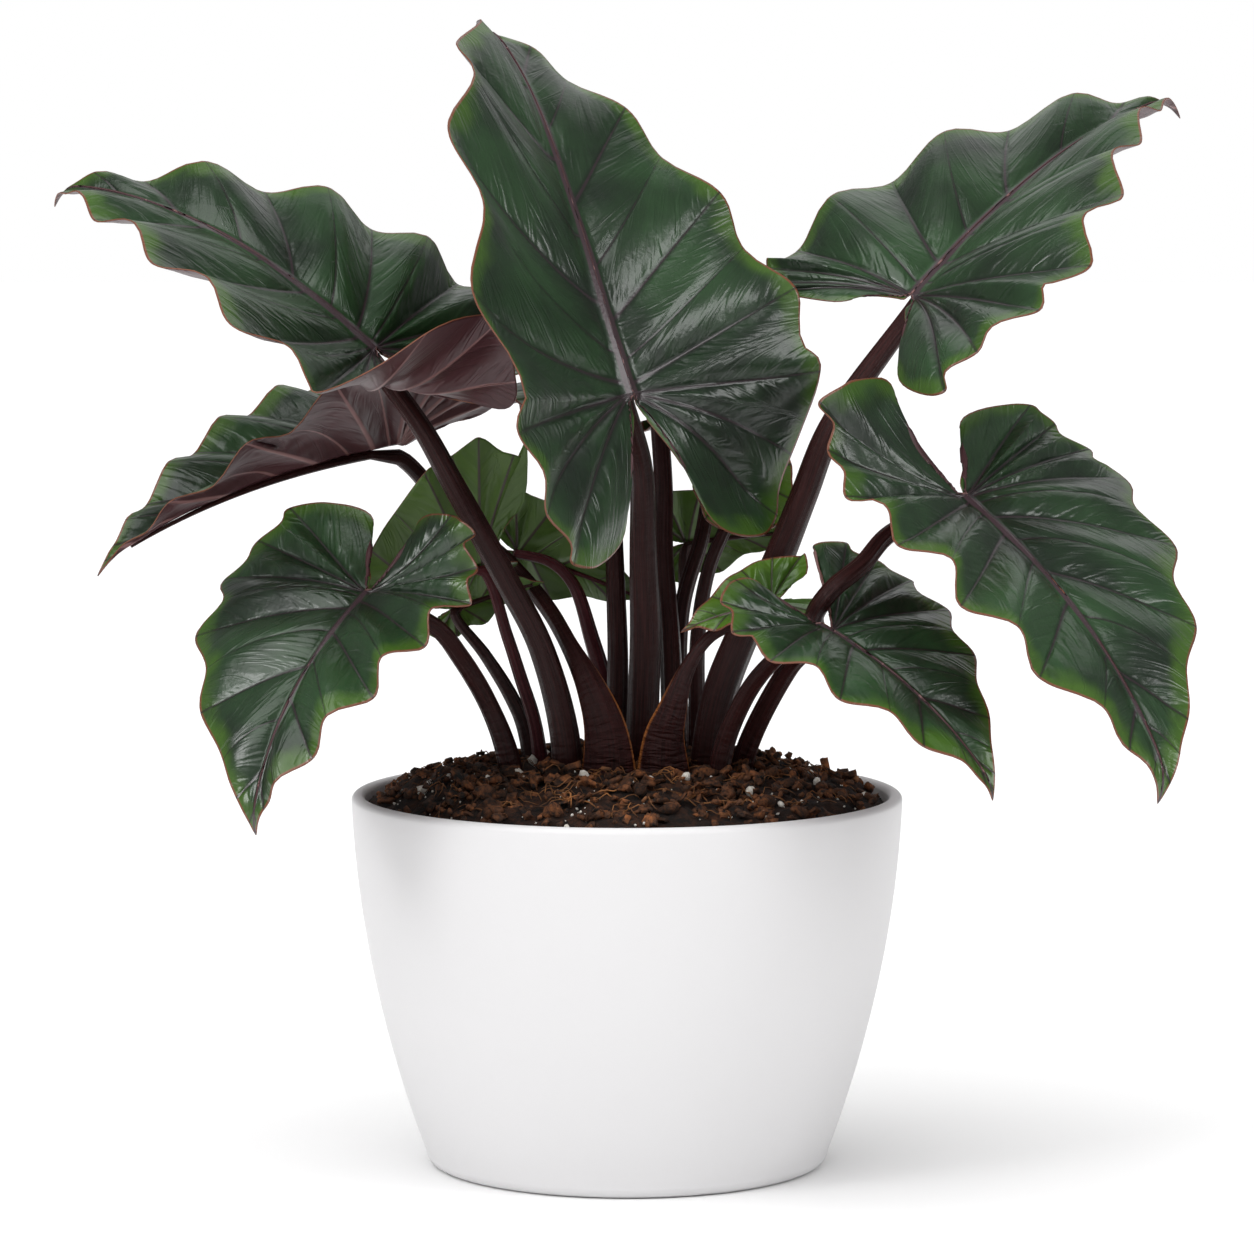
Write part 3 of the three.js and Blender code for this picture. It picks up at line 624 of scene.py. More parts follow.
# Places and lengths along the margin, in stations.
WAVES_START = 0.8
WAVES_END = LOBE_TIP_STATION + 0.6
FADE_IN = 1.7
FADE_OUT = 1.8
LOBE_FADE = 1.2
FIRST_VEIN = 0.5
LAST_VEIN = LOBE_TIP_STATION + 0.2
MOST_VEINS = 10
# The waves grow towards the margin with this power of the way out.
WAVE_POWER = 2.2


def wave_at(leaf, half, station, t):
    """Lift of the blade by its waves and puffs, and how far they push the margin out."""
    waves = half.get("waves", leaf["waves"])
    fade = smooth((station - WAVES_START) / FADE_IN) * smooth((WAVES_END - station) / FADE_OUT)
    fade *= mix(1, half.get("lobe_waves", LOBE_WAVES), smooth((station - JOINT_STATION) / LOBE_FADE))
    along = station / LOBE_TIP_STATION
    beat = math.cos(2 * math.pi * (waves * along - half["phase"]))
    wave = half.get("wave_height", leaf["wave_height"]) * t ** WAVE_POWER * beat
    puff = leaf["puff"] * 4 * t * (1 - t) * (0.5 - 0.5 * beat)
    return fade * (puff - wave), 1 + fade * half.get("scallop", leaf["scallop"]) * t * t * beat


def side_vein_stations(leaf, half, between=0):
    """Where side veins end on the margin; with between=0.5, the lesser ones midway between them."""
    waves = half.get("waves", leaf["waves"])
    every = [LOBE_TIP_STATION * (k + between + half["phase"]) / waves for k in range(-1, MOST_VEINS)]
    last = JOINT_STATION if between else LAST_VEIN
    return [station for station in every if FIRST_VEIN < station < last]


# %% Veins of one half blade
VEIN_POINTS = 160
# Half widths: at the midrib a share of the blade's length, at the margin millimetres.
VEIN_WIDE = 0.0045
VEIN_NARROW = 0.3
VEIN_TAPER = 0.9
# A line from the midrib starts out square to it, and then bends towards the tip or the lobe.
LINE_BEND = 1.15


class Veins:
    """Finds how far a point of the flat half blade is from the nearest of some side veins."""

    def __init__(self, leaf, half, stations):
        self.facts = []
        self.tree = kdtree.KDTree(len(stations) * VEIN_POINTS)
        for station in stations:
            end_x, end_y = margin_at(leaf, half, station)
            root = root_at(leaf, station)
            if half.get("open"):
                root = max(root, OPEN_ROOT * leaf["length"])
            along = 0
            last = None
            chance = draw.random()
            for k in range(VEIN_POINTS):
                t = k / (VEIN_POINTS - 1)
                place = Vector((root + (end_x - root) * t ** LINE_BEND, end_y * t, 0))
                along += (place - last).length if last else 0
                last = place
                half_width = mix(VEIN_WIDE * leaf["length"], VEIN_NARROW, t ** VEIN_TAPER)
                self.tree.insert(place, len(self.facts))
                self.facts.append((along, half_width, chance))
        self.tree.balance()

    def near(self, x, y):
        _, number, distance = self.tree.find((x, y, 0))
        return distance, *self.facts[number]


print("A side vein is", VEIN_NARROW * 2, "mm wide where it ends")

# %% Measures of the relief
# Heights and widths in millimetres. Pillows, flanks and lesser valleys grow with the blade.
USUAL_LENGTH = 200
PILLOW = 2.8
VEIN_FLANK = 4.5
RIB_FLANK = 5
LESSER_VALLEY = 1.3
LESSER_FLANK = 2.2
LESSER_START = 6
CREASE = 1.1
CREASE_GAP = 7.0
CREASE_RUN = 20
CREASE_START = 2.5
CREASE_FADE = 14
RIB_TIP_HALF_WIDTH = 0.45
TIP_CALM = 26
# Shares: of a pillow's height, of a line, and of the blade's length.
PILLOW_REST = 0.6
MARGIN_CALM = 0.25
MARGIN_FLAT = 0.04
RIB_HALF_WIDTH = 0.0125
# In half widths of the midrib: its edge, how far beside it the relief grows to its full height,
# its own height, and the place, width and depth of the groove along it.
RIB_EDGE = 0.9
RIB_SHOULDER = 2.2
RIB_RISE = 0.45
GROOVE_PLACE = 1.7
GROOVE_WIDTH = 0.6
GROOVE_DEPTH = 0.3
# The height of a vein, in its own half widths.
VEIN_RISE = 0.8
# The midrib gets slimmer with this power of the way to the tip.
RIB_TAPER = 0.8
print("The blade rises", PILLOW, "mm between two side veins")


# %% Relief of the blade's face
def relief_at(leaf, x, y, t, distance, half_width, midway, feather, chance):
    """Height of the face over the smooth blade, and the distance to the midrib in half widths."""
    rib_half = mix(RIB_HALF_WIDTH * leaf["length"], RIB_TIP_HALF_WIDTH,
                   clamp(x / leaf["length"]) ** RIB_TAPER)
    from_rib = (math.hypot(x, y) if x < 0 else y) / rib_half
    off_rib = max(0, (from_rib - RIB_EDGE) * rib_half)
    scale = leaf["length"] / USUAL_LENGTH
    from_vein = 1 - math.exp(-distance / (VEIN_FLANK * scale))
    pillow = from_vein * (1 - math.exp(-off_rib / (RIB_FLANK * scale)))
    ridge = abs(noise.noise((feather / CREASE_GAP, distance / CREASE_RUN, chance * NOISE_APART)))
    near_vein = smooth(distance / CREASE_START) * math.exp(-distance / CREASE_FADE)
    lift = PILLOW * scale * (pillow - PILLOW_REST) + CREASE * ridge * near_vein
    lesser_valley = LESSER_VALLEY * scale * math.exp(-midway / (LESSER_FLANK * scale))
    lift -= lesser_valley * smooth(distance / LESSER_START)
    lift *= smooth((1 - t) / MARGIN_CALM)
    lift += VEIN_RISE * half_width * math.sqrt(max(0, 1 - (distance / half_width) ** 2))
    lift *= smooth((from_rib - RIB_EDGE) / RIB_SHOULDER) * smooth((1 - t) / MARGIN_FLAT)
    lift += RIB_RISE * rib_half * (1 + math.cos(math.pi * min(1, from_rib))) / 2
    lift -= GROOVE_DEPTH * rib_half * math.exp(-((from_rib - GROOVE_PLACE) / GROOVE_WIDTH) ** 2)
    return lift * smooth((leaf["length"] - x) / TIP_CALM), from_rib


print("The relief ends", TIP_CALM, "mm before the tip, little by little")

# %% [markdown]
# ## A blade
#
# Each half starts as a flat grid. Its columns become lines from the midrib to the margin, and
# its rows go along the leaf. Extra columns lie on and beside every vein, so that the thin cords
# keep their shape. Then each vertex is moved to its place in space, the halves are merged along
# the midrib, and a Solidify modifier gives the sheet its thickness, an underside and a margin.

# %% Lines and steps of the grid
BLADE_THICKNESS = 0.55
VEIN_LINES = (-0.09, -0.022, 0, 0.022, 0.09)
LESSER_LINES = (-0.03, 0, 0.03)
CLOSEST_LINES = 0.03
RIB_CROWDING = 1.8
MARGIN_CROWDING = 1.25


def blade_lines(leaf):
    """Stations of the grid's columns: even ones, and a few beside every side vein."""
    stations = [LAST_STATION * k / leaf["lines"] for k in range(leaf["lines"] + 1)]
    for half in (leaf["left"], leaf["right"]):
        for between, shifts in ((0.5, LESSER_LINES), (0, VEIN_LINES)):
            for vein in side_vein_stations(leaf, half, between):
                near = [vein + shift for shift in shifts]
                stations = [s for s in stations if s == 0 or abs(s - vein) > CLOSEST_LINES] + near
    return sorted({round(clamp(s, 0, LAST_STATION), 4) for s in stations})


def blade_steps(count):
    """Shares of the way from the midrib to the margin, closer together at both ends."""
    shares = [k / count for k in range(count + 1)]
    return [mix(s ** RIB_CROWDING, 1 - (1 - s) ** MARGIN_CROWDING, s) for s in shares]


print("A line from midrib to margin has steps at", [round(t, 3) for t in blade_steps(12)])

# %% Blade from grid
MIDRIB_WELD = 0.02
LESSER_WIDTH = 0.5
# Creases leave a vein slanting and bend more with distance, and a line meets the margin slanting.
CREASE_SLANT = 0.9
CREASE_BEND = 0.045
MARGIN_SLANT = 0.85


def make_blade(leaf):
    stations = blade_lines(leaf)
    steps = blade_steps(leaf["steps"])
    roots = [root_at(leaf, station) for station in stations]
    last_root = max(i for i, root in enumerate(roots) if root >= OPEN_ROOT * leaf["length"])
    bm = bmesh.new()
    layers = {name: bm.verts.layers.float.new(name) for name in BLADE_MEASURES}
    for side, half in ((1, leaf["left"]), (-1, leaf["right"])):
        midrib = Midrib(leaf, half)
        veins = Veins(leaf, half, side_vein_stations(leaf, half))
        lesser = Veins(leaf, half, side_vein_stations(leaf, half, between=0.5))
        ends = [margin_at(leaf, half, station) for station in stations]
        grid = bmesh.ops.create_grid(bm, x_segments=len(stations) - 1, y_segments=len(steps) - 1,
                                     size=0.5)
        if side > 0:
            faces = list({face for vert in grid["verts"] for face in vert.link_faces})
            bmesh.ops.reverse_faces(bm, faces=faces)
        for vert in grid["verts"]:
            i = round((vert.co.x + 0.5) * (len(stations) - 1))
            t = steps[round((vert.co.y + 0.5) * (len(steps) - 1))]
            root = roots[min(i, last_root)] if half.get("open") else roots[i]
            end_x, end_y = ends[i]
            x = root + (end_x - root) * t ** LINE_BEND
            lift, stretch = wave_at(leaf, half, stations[i], t)
            distance, along, half_width, chance = veins.near(x, end_y * t)
            midway, _, lesser_width, _ = lesser.near(x, end_y * t)
            feather = along - CREASE_SLANT * distance - CREASE_BEND * distance ** 2
            relief, from_rib = relief_at(leaf, x, end_y * t, t, distance, half_width, midway, feather,
                                         chance)
            vert.co = blade_point(half, side, midrib, x, end_y * t * stretch, lift + relief)
            length = math.hypot(end_x - root, end_y)
            from_vein = min(distance / half_width, midway / (LESSER_WIDTH * lesser_width))
            measures = {
                "rib": from_rib, "vein": from_vein, "edge": (1 - t) * length * MARGIN_SLANT,
                "feather": feather, "reach": distance, "draw": chance,
            }
            for name, value in measures.items():
                vert[layers[name]] = value
    bmesh.ops.remove_doubles(bm, verts=bm.verts, dist=MIDRIB_WELD)
    if leaf["slot"] == "young_leaf":
        finishes = [young_face, young_underside, margin_skin]
    else:
        finishes = [leaf_face, leaf_underside, margin_skin]
    name = leaf["name"]
    piece = finish_piece(bm, "leaf_" + name, finishes, ["blade_" + name])
    sheet = piece.modifiers.new("thickness", "SOLIDIFY")
    sheet.thickness = BLADE_THICKNESS * MM
    sheet.offset = -1
    sheet.material_offset = 1
    sheet.material_offset_rim = 2


print("A blade is", BLADE_THICKNESS, "mm thick")

# %% [markdown]
# ## A stalk
#
# A stalk rises from the soil in a long bow, gets slimmer upwards, and goes on under the blade as
# the back of the midrib. Its centre line is a smooth curve through a few places. A grid is
# wrapped round that curve, its seam is welded and its ends are filled. Low rounded ridges run
# along it. Two stalks open into flat wings at the foot, where they once held a younger leaf.

# %% The centre line of a stalk
STALK_FOOT = 150
STALK_ROWS = 76
STALK_MIDDLE = 0.4
GAP = 0.35
CAD_BLADE_THICKNESS = 0.9
# The back of the midrib, in shares of the blade's length, and how deep it is sunk into the blade.
BACK_ROWS = 24
BACK_START = 0.09
BACK_REACH = 0.87
BACK_TIP_RADIUS = 0.7
BACK_SINK = 0.5


def smooth_line(points, pieces=40):
    """A centripetal curve through the points, as many short pieces between each two."""
    guides = [2 * points[0] - points[1], *points, 2 * points[-1] - points[-2]]
    line = []
    for a, b, c, d in zip(guides, guides[1:], guides[2:], guides[3:]):
        gap_a, gap_b, gap_c = ((q - p).length ** 0.5 for p, q in ((a, b), (b, c), (c, d)))
        start = ((b - a) / gap_a - (c - a) / (gap_a + gap_b) + (c - b) / gap_b) * gap_b
        end = ((c - b) / gap_b - (d - b) / (gap_b + gap_c) + (d - c) / gap_c) * gap_b
        for k in range(pieces):
            u = k / pieces
            line.append(b + start * u + (3 * (c - b) - 2 * start - end) * u ** 2
                        + (2 * (b - c) + start + end) * u ** 3)
    return [*line, points[-1]]


def spaced(line, shares):
    """Points at shares of the line's whole length."""
    lengths = [0]
    for a, b in zip(line, line[1:]):
        lengths.append(lengths[-1] + (b - a).length)
    places = []
    k = 0
    for share in shares:
        wanted = share * lengths[-1]
        while k < len(line) - 2 and lengths[k + 1] < wanted:
            k += 1
        places.append(line[k].lerp(line[k + 1], (wanted - lengths[k]) / (lengths[k + 1] - lengths[k])))
    return places, lengths[-1]


def stalk_rows(leaf):
    """Rows of centre, half width and half depth, from the foot to the end under the midrib."""
    low, middle, high = leaf["radii"]
    midrib = Midrib(leaf, leaf["left"])
    length = leaf["length"]

    def under(x, radius):
        place, _, _, normal = midrib.at(x)
        depth = BACK_SINK * radius + BLADE_THICKNESS if x else radius + CAD_BLADE_THICKNESS + GAP
        return place - normal * depth

    back = []
    for k in range(BACK_ROWS + 1):
        x = mix(BACK_START, BACK_REACH, k / BACK_ROWS) * length
        radius = mix(leaf["rib_radius"], BACK_TIP_RADIUS, clamp(x / (BACK_REACH * length)))
        back.append((under(x, radius), radius, radius, 0))
    neck = under(0, high)
    guides = [Vector((*leaf["foot"], STALK_FOOT)), *map(Vector, leaf["bends"]), neck, back[0][0]]
    line = smooth_line(guides)
    _, whole = spaced(line, [0])
    neck_share = 1 - (neck - back[0][0]).length / whole
    shares = [k / (STALK_ROWS - 1) for k in range(STALK_ROWS)]
    places, _ = spaced(line, [share * neck_share for share in shares])
    rows = []
    for share, place in zip(shares, places):
        if share < STALK_MIDDLE:
            radius = mix(low, middle, share / STALK_MIDDLE)
        else:
            radius = mix(middle, high, (share - STALK_MIDDLE) / (1 - STALK_MIDDLE))
        width, wing = radius, 0
        if "sheath" in leaf:
            wing_width, reach = leaf["sheath"]
            wing = smooth(1 - share / reach)
            width = mix(radius, wing_width, wing)
        rows.append((place, width, radius, wing))
    return rows + back


print("A stalk has", STALK_ROWS + BACK_ROWS + 1, "rows")

# %% Ridges, creases and wings of a stalk
# Millimetres: the ridges' height, how slowly they change along the stalk, and the half depth from
# which they are full, then the creased foot, and how far apart the stalks read the noise.
RIDGE_HEIGHT = 0.22
RIDGE_DRIFT = 60
RIDGE_FULL = 4
FOOT_TOP = 70
FOOT_FADE = 60
NOISE_RANGE = 400
RIDGE_COUNTS = (7, 8, 9)
LINE_CROWDING = 1.5
# How creased the skin is: everywhere, more at the foot, and more on a wing.
CREASED = 0.12
FOOT_CREASED = 0.25
WING_CREASED = 0.8
WING_THINNING = 0.5
# The coloured line of a wing: how early it starts, where it lies across, and how soft it ends.
WING_LINE_START = 2.5
WING_LINE = 0.93
WING_LINE_SOFT = 0.06
print("The ridges of a stalk are", RIDGE_HEIGHT, "mm high")

# %% Stalk from a wrapped grid
STALK_SIDES = 32
STALK_WELD = 0.01


def make_stalk(leaf):
    rows = stalk_rows(leaf)
    bm = bmesh.new()
    layers = {name: bm.verts.layers.float.new(name) for name in STALK_MEASURES}
    grid = bmesh.ops.create_grid(bm, x_segments=STALK_SIDES, y_segments=len(rows) - 1, size=0.5)
    frames = []
    across = Vector((1, 0, 0))
    along = 0
    for k, (centre, *_) in enumerate(rows):
        ahead = rows[min(k + 1, len(rows) - 1)][0]
        tangent = (ahead - rows[max(k - 1, 0)][0]).normalized()
        across = (across - tangent * across.dot(tangent)).normalized()
        along += (centre - rows[k - 1][0]).length if k else 0
        frames.append((across, tangent.cross(across), along))
    offset = draw.uniform(0, NOISE_RANGE)
    ridges = draw.choice(RIDGE_COUNTS)
    for vert in grid["verts"]:
        turn = 2 * math.pi * (vert.co.x + 0.5)
        k = round((vert.co.y + 0.5) * (len(rows) - 1))
        centre, wide, deep, wing = rows[k]
        side, front, along = frames[k]
        thin = 1 - WING_THINNING * wing * abs(math.cos(turn)) ** 3
        slow = noise.noise((2 * math.cos(turn), 2 * math.sin(turn), (along + offset) / RIDGE_DRIFT))
        ripples = math.cos(ridges * turn + offset) + 2 * slow - 2
        raised = RIDGE_HEIGHT * ripples * smooth(deep / RIDGE_FULL)
        vert.co = (centre + side * ((wide + raised) * math.cos(turn))
                   + front * ((deep + raised) * thin * math.sin(turn)))
        radius = (wide + deep) / 2
        near_foot = smooth((FOOT_TOP - along) / FOOT_FADE)
        on_line = smooth((abs(math.cos(turn)) - WING_LINE) / WING_LINE_SOFT)
        measures = {
            "along": along + offset, "around": math.cos(turn) * radius * LINE_CROWDING,
            "ripple": clamp(CREASED + FOOT_CREASED * near_foot + WING_CREASED * wing),
            "wing": smooth(wing * WING_LINE_START) * on_line,
        }
        for name, value in measures.items():
            vert[layers[name]] = value
    bmesh.ops.remove_doubles(bm, verts=bm.verts, dist=STALK_WELD)
    bmesh.ops.holes_fill(bm, edges=[edge for edge in bm.edges if edge.is_boundary], sides=0)
    if bm.calc_volume(signed=True) < 0:
        bmesh.ops.reverse_faces(bm, faces=bm.faces)
    skin = red_skin if leaf.get("red") else purple_skin
    finish_piece(bm, "stalk_" + leaf["name"], [skin], ["stem_" + leaf["name"]])


print("A stalk has", STALK_SIDES, "sides")

# %% [markdown]
# ## The leaves
#
# Each leaf is described the way a florist would hold it: where its joint is, which way the
# midrib heads (degrees round from the right), how steeply it rises, how the blade rolls, how
# far it curls and hooks over, and how wide, folded and lobed each half is. The sizes are the
# CAD source's own, in millimetres, but for two things. On the seven large leaves in front, the
# waves of one half or of both are drawn anew to follow the photograph. A margin seen edge on
# shows how far it swings up and down (wave_height), and one seen face on shows how far it swings
# out and in (scallop). And the upper right leaf's stalk stands 1.3 mm further right, clear of the
# centre leaf.

# %% Kinds of leaf
LARGE = dict(slot="leaf", waves=5.5, wave_height=4, puff=2.8, scallop=0.065, rib_radius=2.4, lines=84,
             steps=38)
REAR = dict(LARGE, lines=50, steps=22, curl=35, hook=15, sweep=0, roll=0)
REAR_HALF = dict(lobe_tip=0.45, fold=14, arch=25, lobe_fold=14, lobe_droop=10)
YOUNG = dict(slot="young_leaf", waves=5, wave_height=1.8, puff=1.2, scallop=0.05, rib_radius=1.5,
             lines=40, steps=22, curl=15, hook=10, sweep=0)
YOUNG_HALF = dict(lobe_tip=0.6, fold=10, arch=10, lobe_fold=10, lobe_droop=0)
print("The margin of a large leaf mostly swings", LARGE["wave_height"], "mm up and down")

# %% The plant, leaf by leaf
PLANT = [
    dict(
        LARGE, name="centre", joint=(2, -38, 339), heading=150, pitch=69, roll=-16, length=238,
        curl=51, hook=41, sweep=-40,
        left=dict(width=112, lobe=0.28, lobe_tip=0.5, fold=7, arch=-28, lobe_fold=7, lobe_droop=20,
                  waves=7.4, phase=0.91),
        right=dict(width=87, lobe=0.3, lobe_tip=0.56, fold=16, arch=-16, lobe_fold=-11, lobe_droop=-9,
                  waves=8.1, phase=0.37, wave_height=-2.5, scallop=0.05, lobe_waves=0.1),
        foot=(6, -6), radii=(8, 7.2, 4.5),
        bends=[(7, -6, 197), (8, -6, 227), (7, -8, 267), (6, -14, 305)],
    ),
    dict(
        LARGE, name="upper_left", joint=(-108, -30, 358), heading=173, pitch=42, roll=-35,
        length=180, curl=52, hook=48, sweep=-3,
        left=dict(width=90, lobe=0.44, lobe_tip=0.44, fold=9, arch=-33, lobe_fold=65, lobe_droop=-28,
                  waves=8, phase=0.96),
        right=dict(width=77, lobe=0.45, lobe_tip=0.48, fold=8, arch=23, lobe_fold=27, lobe_droop=-60,
                  waves=7.6, phase=0.64, wave_height=5.5, scallop=0),
        foot=(-26, -24), radii=(7.5, 5.8, 4.5),
        bends=[(-27, -26, 190), (-37, -28, 229), (-52, -32, 259), (-74, -40, 300), (-87, -43, 324)],
    ),
    dict(
        LARGE, name="left", joint=(-101, 36, 312), heading=210, pitch=-8, roll=-1, length=157,
        curl=23, hook=18, sweep=2,
        left=dict(width=67, lobe=0.27, lobe_tip=0.49, fold=47, arch=9, tip_fill=-0.5, lobe_fold=38,
                  lobe_droop=1, waves=9, phase=0.12, wave_height=-2.5, scallop=0.1),
        right=dict(width=67, lobe=0.34, lobe_tip=0.45, fold=32, arch=17, lobe_fold=32, lobe_droop=7,
                  waves=9, phase=0.12, wave_height=4, scallop=0),
        foot=(-8, -37), radii=(5, 4.2, 4), sheath=(14, 0.42),
        bends=[(-9, -36, 192), (-15, -32, 211), (-25, -18, 229), (-35, 6, 243), (-54, 33, 262),
               (-76, 42, 280)],
    ),
    dict(
        LARGE, name="lower_left", joint=(-110, -70, 257), heading=230, pitch=-33, roll=0,
        length=124, curl=45, hook=25, sweep=2,
        left=dict(width=54, lobe=0.33, lobe_tip=0.51, fold=7, arch=14, tip_fill=0.26, lobe_fold=14,
                  lobe_droop=-37, waves=8.1, phase=-0.02, lobe_round=1),
        right=dict(width=79, lobe=0.34, lobe_tip=0.54, fold=13, arch=23, tip_fill=0.07, lobe_fold=17,
                  lobe_droop=-32, waves=6.5, phase=0.93, lobe_round=0.9, wave_height=1.2, scallop=0.09),
        foot=(-46, -22), radii=(6.5, 4.6, 3.8),
        bends=[(-52, -23, 184), (-60, -27, 205), (-71, -36, 225), (-82, -48, 240)],
    ),
    dict(
        LARGE, name="upper_right", joint=(124, 10, 379), heading=42, pitch=38, roll=7, length=207,
        curl=29, hook=47, sweep=2,
        left=dict(width=79, lobe=0.08, lobe_tip=0.75, fold=21, arch=29, lobe_fold=25, lobe_droop=22,
                  waves=7.3, phase=0.19, lobe_waves=0.2, wave_height=5.5, scallop=0),
        right=dict(width=93, lobe=0.25, lobe_tip=0.68, fold=18, arch=10, tip_fill=-0.16, lobe_fold=25,
                  lobe_droop=33, waves=7.9, phase=0.46),
        foot=(33, -14), radii=(9, 7.4, 4.5),
        bends=[(39, -15, 203), (49, -15, 231), (62.3, -14, 259), (76.3, -10, 293), (89, -6, 324)],
    ),
    dict(
        LARGE, name="right", joint=(144, -50, 296), heading=-42, pitch=-32, roll=2, length=175,
        curl=24, hook=54, sweep=-15,
        left=dict(width=91, lobe=0.24, lobe_tip=0.6, fold=16, arch=22, lobe_fold=15, lobe_droop=-42,
                  waves=8, phase=0.63, lobe_round=0.9, wave_height=1.2, scallop=0.09),
        right=dict(width=67, lobe=0.35, lobe_tip=0.54, fold=1, arch=-2, tip_fill=0.48, lobe_fold=-2,
                  lobe_droop=-56, waves=8.1, phase=0.28, lobe_round=1.2),
        foot=(48, -14), radii=(5.5, 4.6, 4),
        bends=[(51, -16, 180), (70, -37, 222), (79, -54, 233), (80, -65, 240), (79, -71, 247),
               (86, -75, 258), (99, -68, 268), (112, -58, 281)],
    ),
    dict(
        LARGE, name="lower_right", joint=(82, -79, 244), heading=-40, pitch=-22, roll=12,
        length=113, curl=34, hook=34, sweep=-1, wave_height=2.4, puff=1.6,
        left=dict(width=58, lobe=0.35, lobe_tip=0.61, fold=14, arch=22, lobe_fold=19, lobe_droop=-8,
                  waves=7.8, phase=-0.09, lobe_round=1, open=True, wave_height=1.2, scallop=0.09),
        right=dict(width=46, lobe=0.32, lobe_tip=0.48, fold=14, arch=15, tip_fill=0.36, lobe_fold=16,
                  lobe_droop=-25, waves=6.6, phase=0.62, lobe_round=0.8),
        foot=(38, -29), radii=(5.5, 4.6, 3.4),
        bends=[(41, -31, 184), (51, -42, 210), (62, -56, 226), (72, -69, 235)],
    ),
    dict(
        YOUNG, name="back_left", joint=(-63, -8, 263), heading=195, pitch=-8, roll=45, length=66,
        left=dict(YOUNG_HALF, width=57, lobe=0.37, lobe_tip=0.93, fold=35, lobe_fold=35, phase=0.2),
        right=dict(YOUNG_HALF, width=32, lobe=0.3, fold=35, lobe_fold=35, phase=0.6),
        foot=(-35, -9), radii=(4.5, 3.4, 2.6), red=True,
        bends=[(-40, -8, 193), (-46, -8, 213), (-52, -8, 232)],
    ),
    dict(
        YOUNG, name="back_centre", joint=(-49, 40, 265), heading=-5, pitch=-18, roll=-75, length=66,
        left=dict(YOUNG_HALF, width=20, lobe=0.3, phase=0.2),
        right=dict(YOUNG_HALF, width=27, lobe=0.35, phase=0.6),
        foot=(-8, 18), radii=(5, 4.2, 2.4), red=True,
        bends=[(-9, 16, 201), (-16, 20, 229), (-24, 25, 252), (-34, 30, 261)],
    ),
    dict(
        YOUNG, name="back_right", joint=(26, 62, 267), heading=5, pitch=8, roll=-65, length=54,
        left=dict(YOUNG_HALF, width=20, lobe=0.4, phase=0.3),
        right=dict(YOUNG_HALF, width=26, lobe=0.4, phase=0.6),
        foot=(15, 30), radii=(3.8, 3, 2.4),
        bends=[(22, 40, 210), (25, 51, 240)],
    ),
    dict(
        YOUNG, name="small_right", joint=(62, -48, 251), heading=192, pitch=-12, roll=-35, length=42,
        left=dict(YOUNG_HALF, width=17, lobe=0.45, phase=0.3),
        right=dict(YOUNG_HALF, width=24, lobe=0.5, lobe_tip=0.8, lobe_fold=20, phase=0.6),
        foot=(17, -33), radii=(5, 3.6, 2.4), sheath=(14, 0.7),
        bends=[(16, -36, 190), (19, -39, 202), (26, -43, 222), (36, -46, 236)],
    ),
    dict(
        YOUNG, name="small_left", joint=(-76, 5, 243), heading=3, pitch=20, roll=-60, length=42,
        left=dict(YOUNG_HALF, width=15, lobe=0.35, phase=0.3),
        right=dict(YOUNG_HALF, width=17, lobe=0.35, phase=0.6),
        foot=(-39, 6), radii=(4.5, 3.7, 2.4),
        bends=[(-45, 8, 190), (-51, 9, 204), (-62, 8, 222)],
    ),
    dict(
        REAR, name="rear_left", joint=(-9, 66, 331), heading=108, pitch=0, length=112,
        left=dict(REAR_HALF, width=48, lobe=0.3, phase=0.2),
        right=dict(REAR_HALF, width=48, lobe=0.3, phase=0.6),
        foot=(-8, 4), radii=(5.5, 4.7, 3.8),
        bends=[(-4, 7, 211), (-5, 15, 255), (-7, 40, 300)],
    ),
    dict(
        REAR, name="rear", joint=(9, 46, 372), heading=88, pitch=12, length=140, curl=40,
        left=dict(REAR_HALF, width=52, lobe=0.32, phase=0.4),
        right=dict(REAR_HALF, width=52, lobe=0.32, phase=0.8),
        foot=(20, 6), radii=(5.5, 4.9, 4),
        bends=[(19, 8, 221), (16, 15, 266), (16, 22, 296), (13, 34, 334)],
    ),
    dict(
        REAR, name="rear_right", joint=(42, 74, 318), heading=80, pitch=0, length=104,
        left=dict(REAR_HALF, width=36, lobe=0.26, phase=0.3),
        right=dict(REAR_HALF, width=34, lobe=0.26, phase=0.7),
        foot=(24, 20), radii=(5, 4, 3.6),
        bends=[(24, 21, 240), (33, 31, 272), (37, 46, 294)],
    ),
    dict(
        YOUNG, name="rear_small", joint=(51, 24, 298), heading=92, pitch=60, roll=0, length=60, curl=18,
        left=dict(REAR_HALF, width=22, lobe=0.4, arch=20, phase=0.3),
        right=dict(REAR_HALF, width=22, lobe=0.4, arch=20, phase=0.7),
        foot=(32, 6), radii=(5, 3.9, 3),
        bends=[(31, 8, 230), (36, 12, 260), (44, 17, 279)],
    ),
]
for leaf in PLANT:
    make_blade(leaf)
    make_stalk(leaf)
print(len(PLANT), "leaves stand in the pot")

# %% [markdown]
# ## The pot
#
# The pot is injection-moulded plastic with a fine satin surface: thin-walled, with a soft rounded
# lip and foot. Its wall curves from the foot to an almost upright rim. A profile of the wall is
# spun round the middle. Foot and lip are rounded in the profile itself, so all that the spin still
# needs is to have its doubles merged on the axis.

# %% Moulded plastic
MOULD_GRAIN = 1.2

